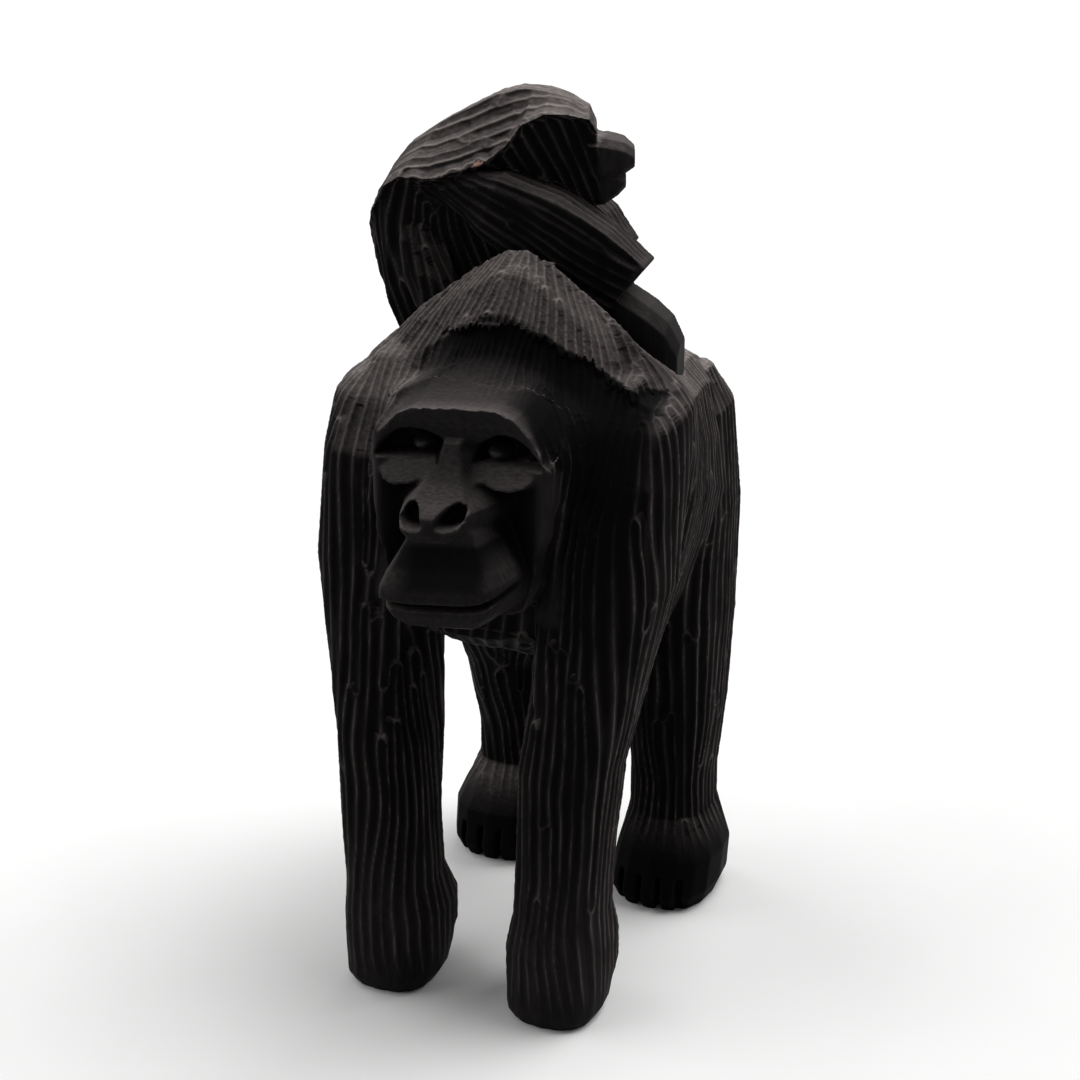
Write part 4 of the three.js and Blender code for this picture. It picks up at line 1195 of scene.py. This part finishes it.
def stained_wood():
    """Black stain: fibres running up the figure, uneven soak, rubbed ridges partly painted lighter where light
    would catch them, painted top light, painted sheen, painted shade and a raw chip.
    """
    nodes = Nodes(bpy.data.materials.new("stained_wood"))
    fibre = nodes.noise(1500, (0.35, 1, 0.06), detail=4)
    rings = nodes.noise(420, (0.12, 1, 0.10), detail=2)
    soak = nodes.noise(45, detail=4)
    patches = nodes.noise(130, (1, 1, 0.35), detail=3)
    ridge = nodes.add("Attribute", attribute_name="ridge").outputs["Fac"]
    chip = nodes.add("Attribute", attribute_name="chip").outputs["Fac"]
    grain = nodes.math("MULTIPLY", nodes.spread(fibre, 0.35, 0.75), nodes.spread(rings, 0.3, 0.7, 0.3, 1.0))
    soaked = nodes.math("MULTIPLY", grain, nodes.spread(soak, 0.3, 0.7, 0.35, 1.0))
    colour = nodes.mix(soaked, STAIN, STAIN_LIGHT)
    facing = nodes.add("SeparateXYZ", {"Vector": nodes.add("NewGeometry").outputs["Normal"]})
    rubbed_and_lit = nodes.math("MULTIPLY", ridge, nodes.spread(patches, 0.35, 0.65, 0.2, 1.0))
    # Painted light: ridges turned away from the front are painted lighter, as lamps from the sides and behind
    # would light them
    rubbed_and_lit = nodes.math("MULTIPLY", rubbed_and_lit, nodes.spread(facing.outputs["Y"], -0.85, -0.3, 0.45, 1.0))
    # Painted top light: the more a surface faces up, the paler it is painted, held back where shade is painted
    # and on the smooth parts
    upper = nodes.spread(facing.outputs["Z"], 0.3, 1.0)
    upper = nodes.math("MULTIPLY", upper, nodes.spread(fibre, 0.3, 0.7, 0.45, 1.0))
    upper = nodes.math("MULTIPLY", upper, nodes.spread(ridge, 0.0, 0.3, 0.66, 1.1))
    painted_shade = nodes.add("Attribute", attribute_name="painted_shade").outputs["Fac"]
    painted_light_share = nodes.add("Attribute", attribute_name="painted_light_share").outputs["Fac"]
    # Painted sheen on the smooth face, the young's muzzle, jaw and hands, and painted floor light on the
    # adult's hands: the colour is painted a lighter grey there
    shine = nodes.math("MULTIPLY", painted_light_share, nodes.spread(grain, 0.0, 0.6, 0.55, 1.0))
    colour = nodes.mix(shine, colour, PAINTED_LIGHT_GREY)
    top_light_held_back = nodes.math("MAXIMUM", painted_shade, nodes.math("MULTIPLY", painted_light_share, 0.6))
    upper = nodes.math("MULTIPLY", upper, nodes.spread(top_light_held_back, 0.0, 1.0, 1.0, 0.15))
    colour = nodes.mix(upper, colour, PAINTED_TOP_LIGHT)
    # Painted shade: where it is kept, the colour goes back to the black stain, ridges included
    colour = nodes.mix(painted_shade, nodes.mix(rubbed_and_lit, colour, RUBBED_AND_LIT), STAIN)
    nodes.wire(nodes.mix(chip, colour, BARE_WOOD), "Base Color")
    coarse = nodes.spread(soak, 0.3, 0.7, 0.48, 0.60)
    nodes.wire(nodes.math("ADD", coarse, nodes.spread(fibre, 0.3, 0.7, -0.05, 0.07)), "Roughness")
    nodes.shader.inputs["Specular IOR Level"].default_value = 0.014
    height = nodes.math("ADD", nodes.math("MULTIPLY", fibre, 0.6), nodes.math("MULTIPLY", patches, 0.8))
    nodes.bump(height, 0.30, 0.25 * MM)
    return nodes.owner


def eye_wood():
    """The same stain burnished to a satin shine, with faint turning marks."""
    nodes = Nodes(bpy.data.materials.new("eye_wood"))
    fibre = nodes.noise(1800, (0.5, 1, 0.2), detail=3)
    nodes.wire(nodes.mix(nodes.spread(fibre, 0.35, 0.7), EYE_DARK, EYE_LIGHT), "Base Color")
    nodes.wire(nodes.spread(fibre, 0.3, 0.7, 0.36, 0.48), "Roughness")
    nodes.shader.inputs["Specular IOR Level"].default_value = 0.12
    nodes.bump(fibre, 0.15, 0.1 * MM)
    return nodes.owner


def dowel_wood():
    """Pale straight-grained dowel stock."""
    nodes = Nodes(bpy.data.materials.new("dowel_wood"))
    fibre = nodes.noise(900, (1, 1, 0.08), detail=4)
    flecks = nodes.noise(260, (1, 1, 0.3), detail=2)
    colour = nodes.mix(nodes.spread(fibre, 0.3, 0.7), DOWEL_DARK, DOWEL_LIGHT)
    colour = nodes.mix(nodes.spread(flecks, 0.55, 0.75, 0.0, 0.5), colour, DOWEL_FLECK)
    nodes.wire(colour, "Base Color")
    nodes.wire(nodes.spread(fibre, 0.3, 0.7, 0.55, 0.72), "Roughness")
    nodes.bump(fibre, 0.2, 0.15 * MM)
    return nodes.owner


def mark_chip(mesh):
    """A small place on the young's shoulder where the stain is broken away."""
    points = points_of(mesh)
    away = np.linalg.norm(points - np.array(young_point(*CHIP)), axis=1) / MM
    ragged = CHIP_SIZE * (1 + 0.5 * np.sin(points[:, 0] * 4000) * np.cos(points[:, 2] * 3500))
    keep(mesh, "chip", smoothstep(ragged + 0.3, ragged - 0.3, away))


voxel = VOXEL
wood, burnished, dowelling = stained_wood(), eye_wood(), dowel_wood()

adult_skin = adult_blank(voxel)
seat = adult_skin.copy()
carve(adult_skin, adult_grain, adult_roughing, adult_spacing, fringe_recess, adult_painted_light, CREST_FORCE)
# Painted shade under the fringe, in the hollows of the face and on the hind feet, kept for the finish
skin_points = points_of(adult_skin)
under_fringe = forehead_shade(skin_points, normals_of(adult_skin))
keep(adult_skin, "painted_shade", np.maximum(under_fringe, hollow_shade(skin_points)))
for node, boxes in adult_blocks().items():
    add_piece(node, parted(adult_skin, joined_boxes(boxes), "INTERSECT"), wood)

arm_blanks = {node: young_arm_blank(node, voxel, seat) for node in SIDES}
young_skin = young_body_blank(voxel, seat, arm_blanks.values())
carve(young_skin, young_grain, young_body_roughing, young_spacing)
mark_chip(young_skin)
for node, operation in {"young_head": "INTERSECT", "young_body": "DIFFERENCE"}.items():
    add_piece(node, parted(young_skin, young_head_block(), operation), wood)
for node, blank in arm_blanks.items():
    carve(blank, sleeve_grain, young_arm_roughing(node), sleeve_spacing)
    # The young's sleeves all get the same painted shade
    keep(blank, "painted_shade", np.full(len(blank.vertices), SLEEVE_SHADE))
    add_piece(node, blank, wood)

for node, side in {"left_eye": 1, "right_eye": -1}.items():
    add_piece(node, eye_mesh(side), burnished)
for node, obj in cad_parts.items():
    if node.endswith("dowel"):
        obj.data.materials.clear()
        obj.data.materials.append(dowelling)


# Studio

# Floor: its paper as it is seen, and as light that falls on the figure finds it
PAPER = (0.90, 0.90, 0.895, 1)
LIGHT_PAPER = (0.93, 0.93, 0.925, 1)
DIM_PAPER = (0.30, 0.30, 0.30, 1)
FLOOR_REACH = 12
# Sky: its colour, and how strongly it fills from the sides and from the front
SKY = (1, 1, 1, 1)
SIDE_FILL = 0.44
FRONT_FILL = 0.08
FRONT = (0.37, -0.86, 0.36)
# Lamps: name, strength, direction that it shines from, spread
LAMPS = (
    ("key", 2.2, (0.28, 0.38, 0.88), math.radians(50)),
    ("side", 1.2, (-0.76, -0.12, 0.64), math.radians(70)),
)


def look_at(obj, target):
    obj.rotation_euler = (target - obj.location).to_track_quat("-Z", "Y").to_euler()


def add_camera():
    target = EYES + Vector(VIEW_TARGET) * MM
    azimuth, elevation = math.radians(VIEW_AZIMUTH), math.radians(VIEW_ELEVATION)
    level = math.cos(elevation)
    back = Vector((math.sin(azimuth) * level, -math.cos(azimuth) * level, math.sin(elevation)))
    camera = new_object("camera", bpy.data.cameras.new("camera"))
    camera.data.lens = VIEW_LENS
    camera.data.sensor_width = 36
    camera.location = target + back * VIEW_DISTANCE
    look_at(camera, target)
    bpy.context.scene.camera = camera


def add_lamps():
    """A broad soft light from above, a little behind and to the right, and a weak one from the left."""
    for name, strength, place, spread in LAMPS:
        lamp = new_object(name, bpy.data.lights.new(name, "SUN"))
        lamp.data.energy = strength
        lamp.data.angle = spread
        lamp.location = place
        look_at(lamp, Vector((0, 0, 0)))


def seen_rays(nodes):
    """1 for what the camera sees, in a reflection or through glass too, and 0 for light on the figure."""
    path = nodes.add("LightPath").outputs
    mirrored = nodes.math("MAXIMUM", path["Is Glossy Ray"], path["Is Transmission Ray"])
    return nodes.math("MAXIMUM", path["Is Camera Ray"], mirrored)


def add_floor():
    """Pale paper, which throws little of its light back on to the figure."""
    corners = [(x * FLOOR_REACH, y * FLOOR_REACH, 0) for x, y in ((-1, -1), (1, -1), (1, 1), (-1, 1))]
    floor = mesh_from("floor", corners, [(0, 1, 2, 3)])
    nodes = Nodes(bpy.data.materials.new("paper"))
    mottle = nodes.noise(9, detail=2)
    paper = nodes.mix(nodes.spread(mottle, 0.3, 0.7), PAPER, LIGHT_PAPER)
    nodes.wire(nodes.mix(seen_rays(nodes), DIM_PAPER, paper), "Base Color")
    nodes.shader.inputs["Roughness"].default_value = 0.9
    nodes.shader.inputs["Specular IOR Level"].default_value = 0.1
    floor.materials.append(nodes.owner)
    new_object("floor", floor)


def add_sky():
    """White to the camera and to reflections; for everything else a soft fill from the sides and back."""
    nodes = Nodes(bpy.data.worlds.new("studio"), "Background")
    bpy.context.scene.world = nodes.owner
    nodes.shader.inputs["Color"].default_value = SKY
    ray = nodes.add("TexCoord").outputs["Generated"]
    frontal = nodes.add("VectorMath", {0: ray, 1: FRONT}, operation="DOT_PRODUCT").outputs["Value"]
    fill = nodes.spread(frontal, 0.1, 0.85, SIDE_FILL, FRONT_FILL)
    nodes.wire(nodes.spread(seen_rays(nodes), 0, 1, fill, 1), "Strength")


add_camera()
add_lamps()
add_floor()
add_sky()
bpy.context.scene.view_settings.view_transform = "Standard"
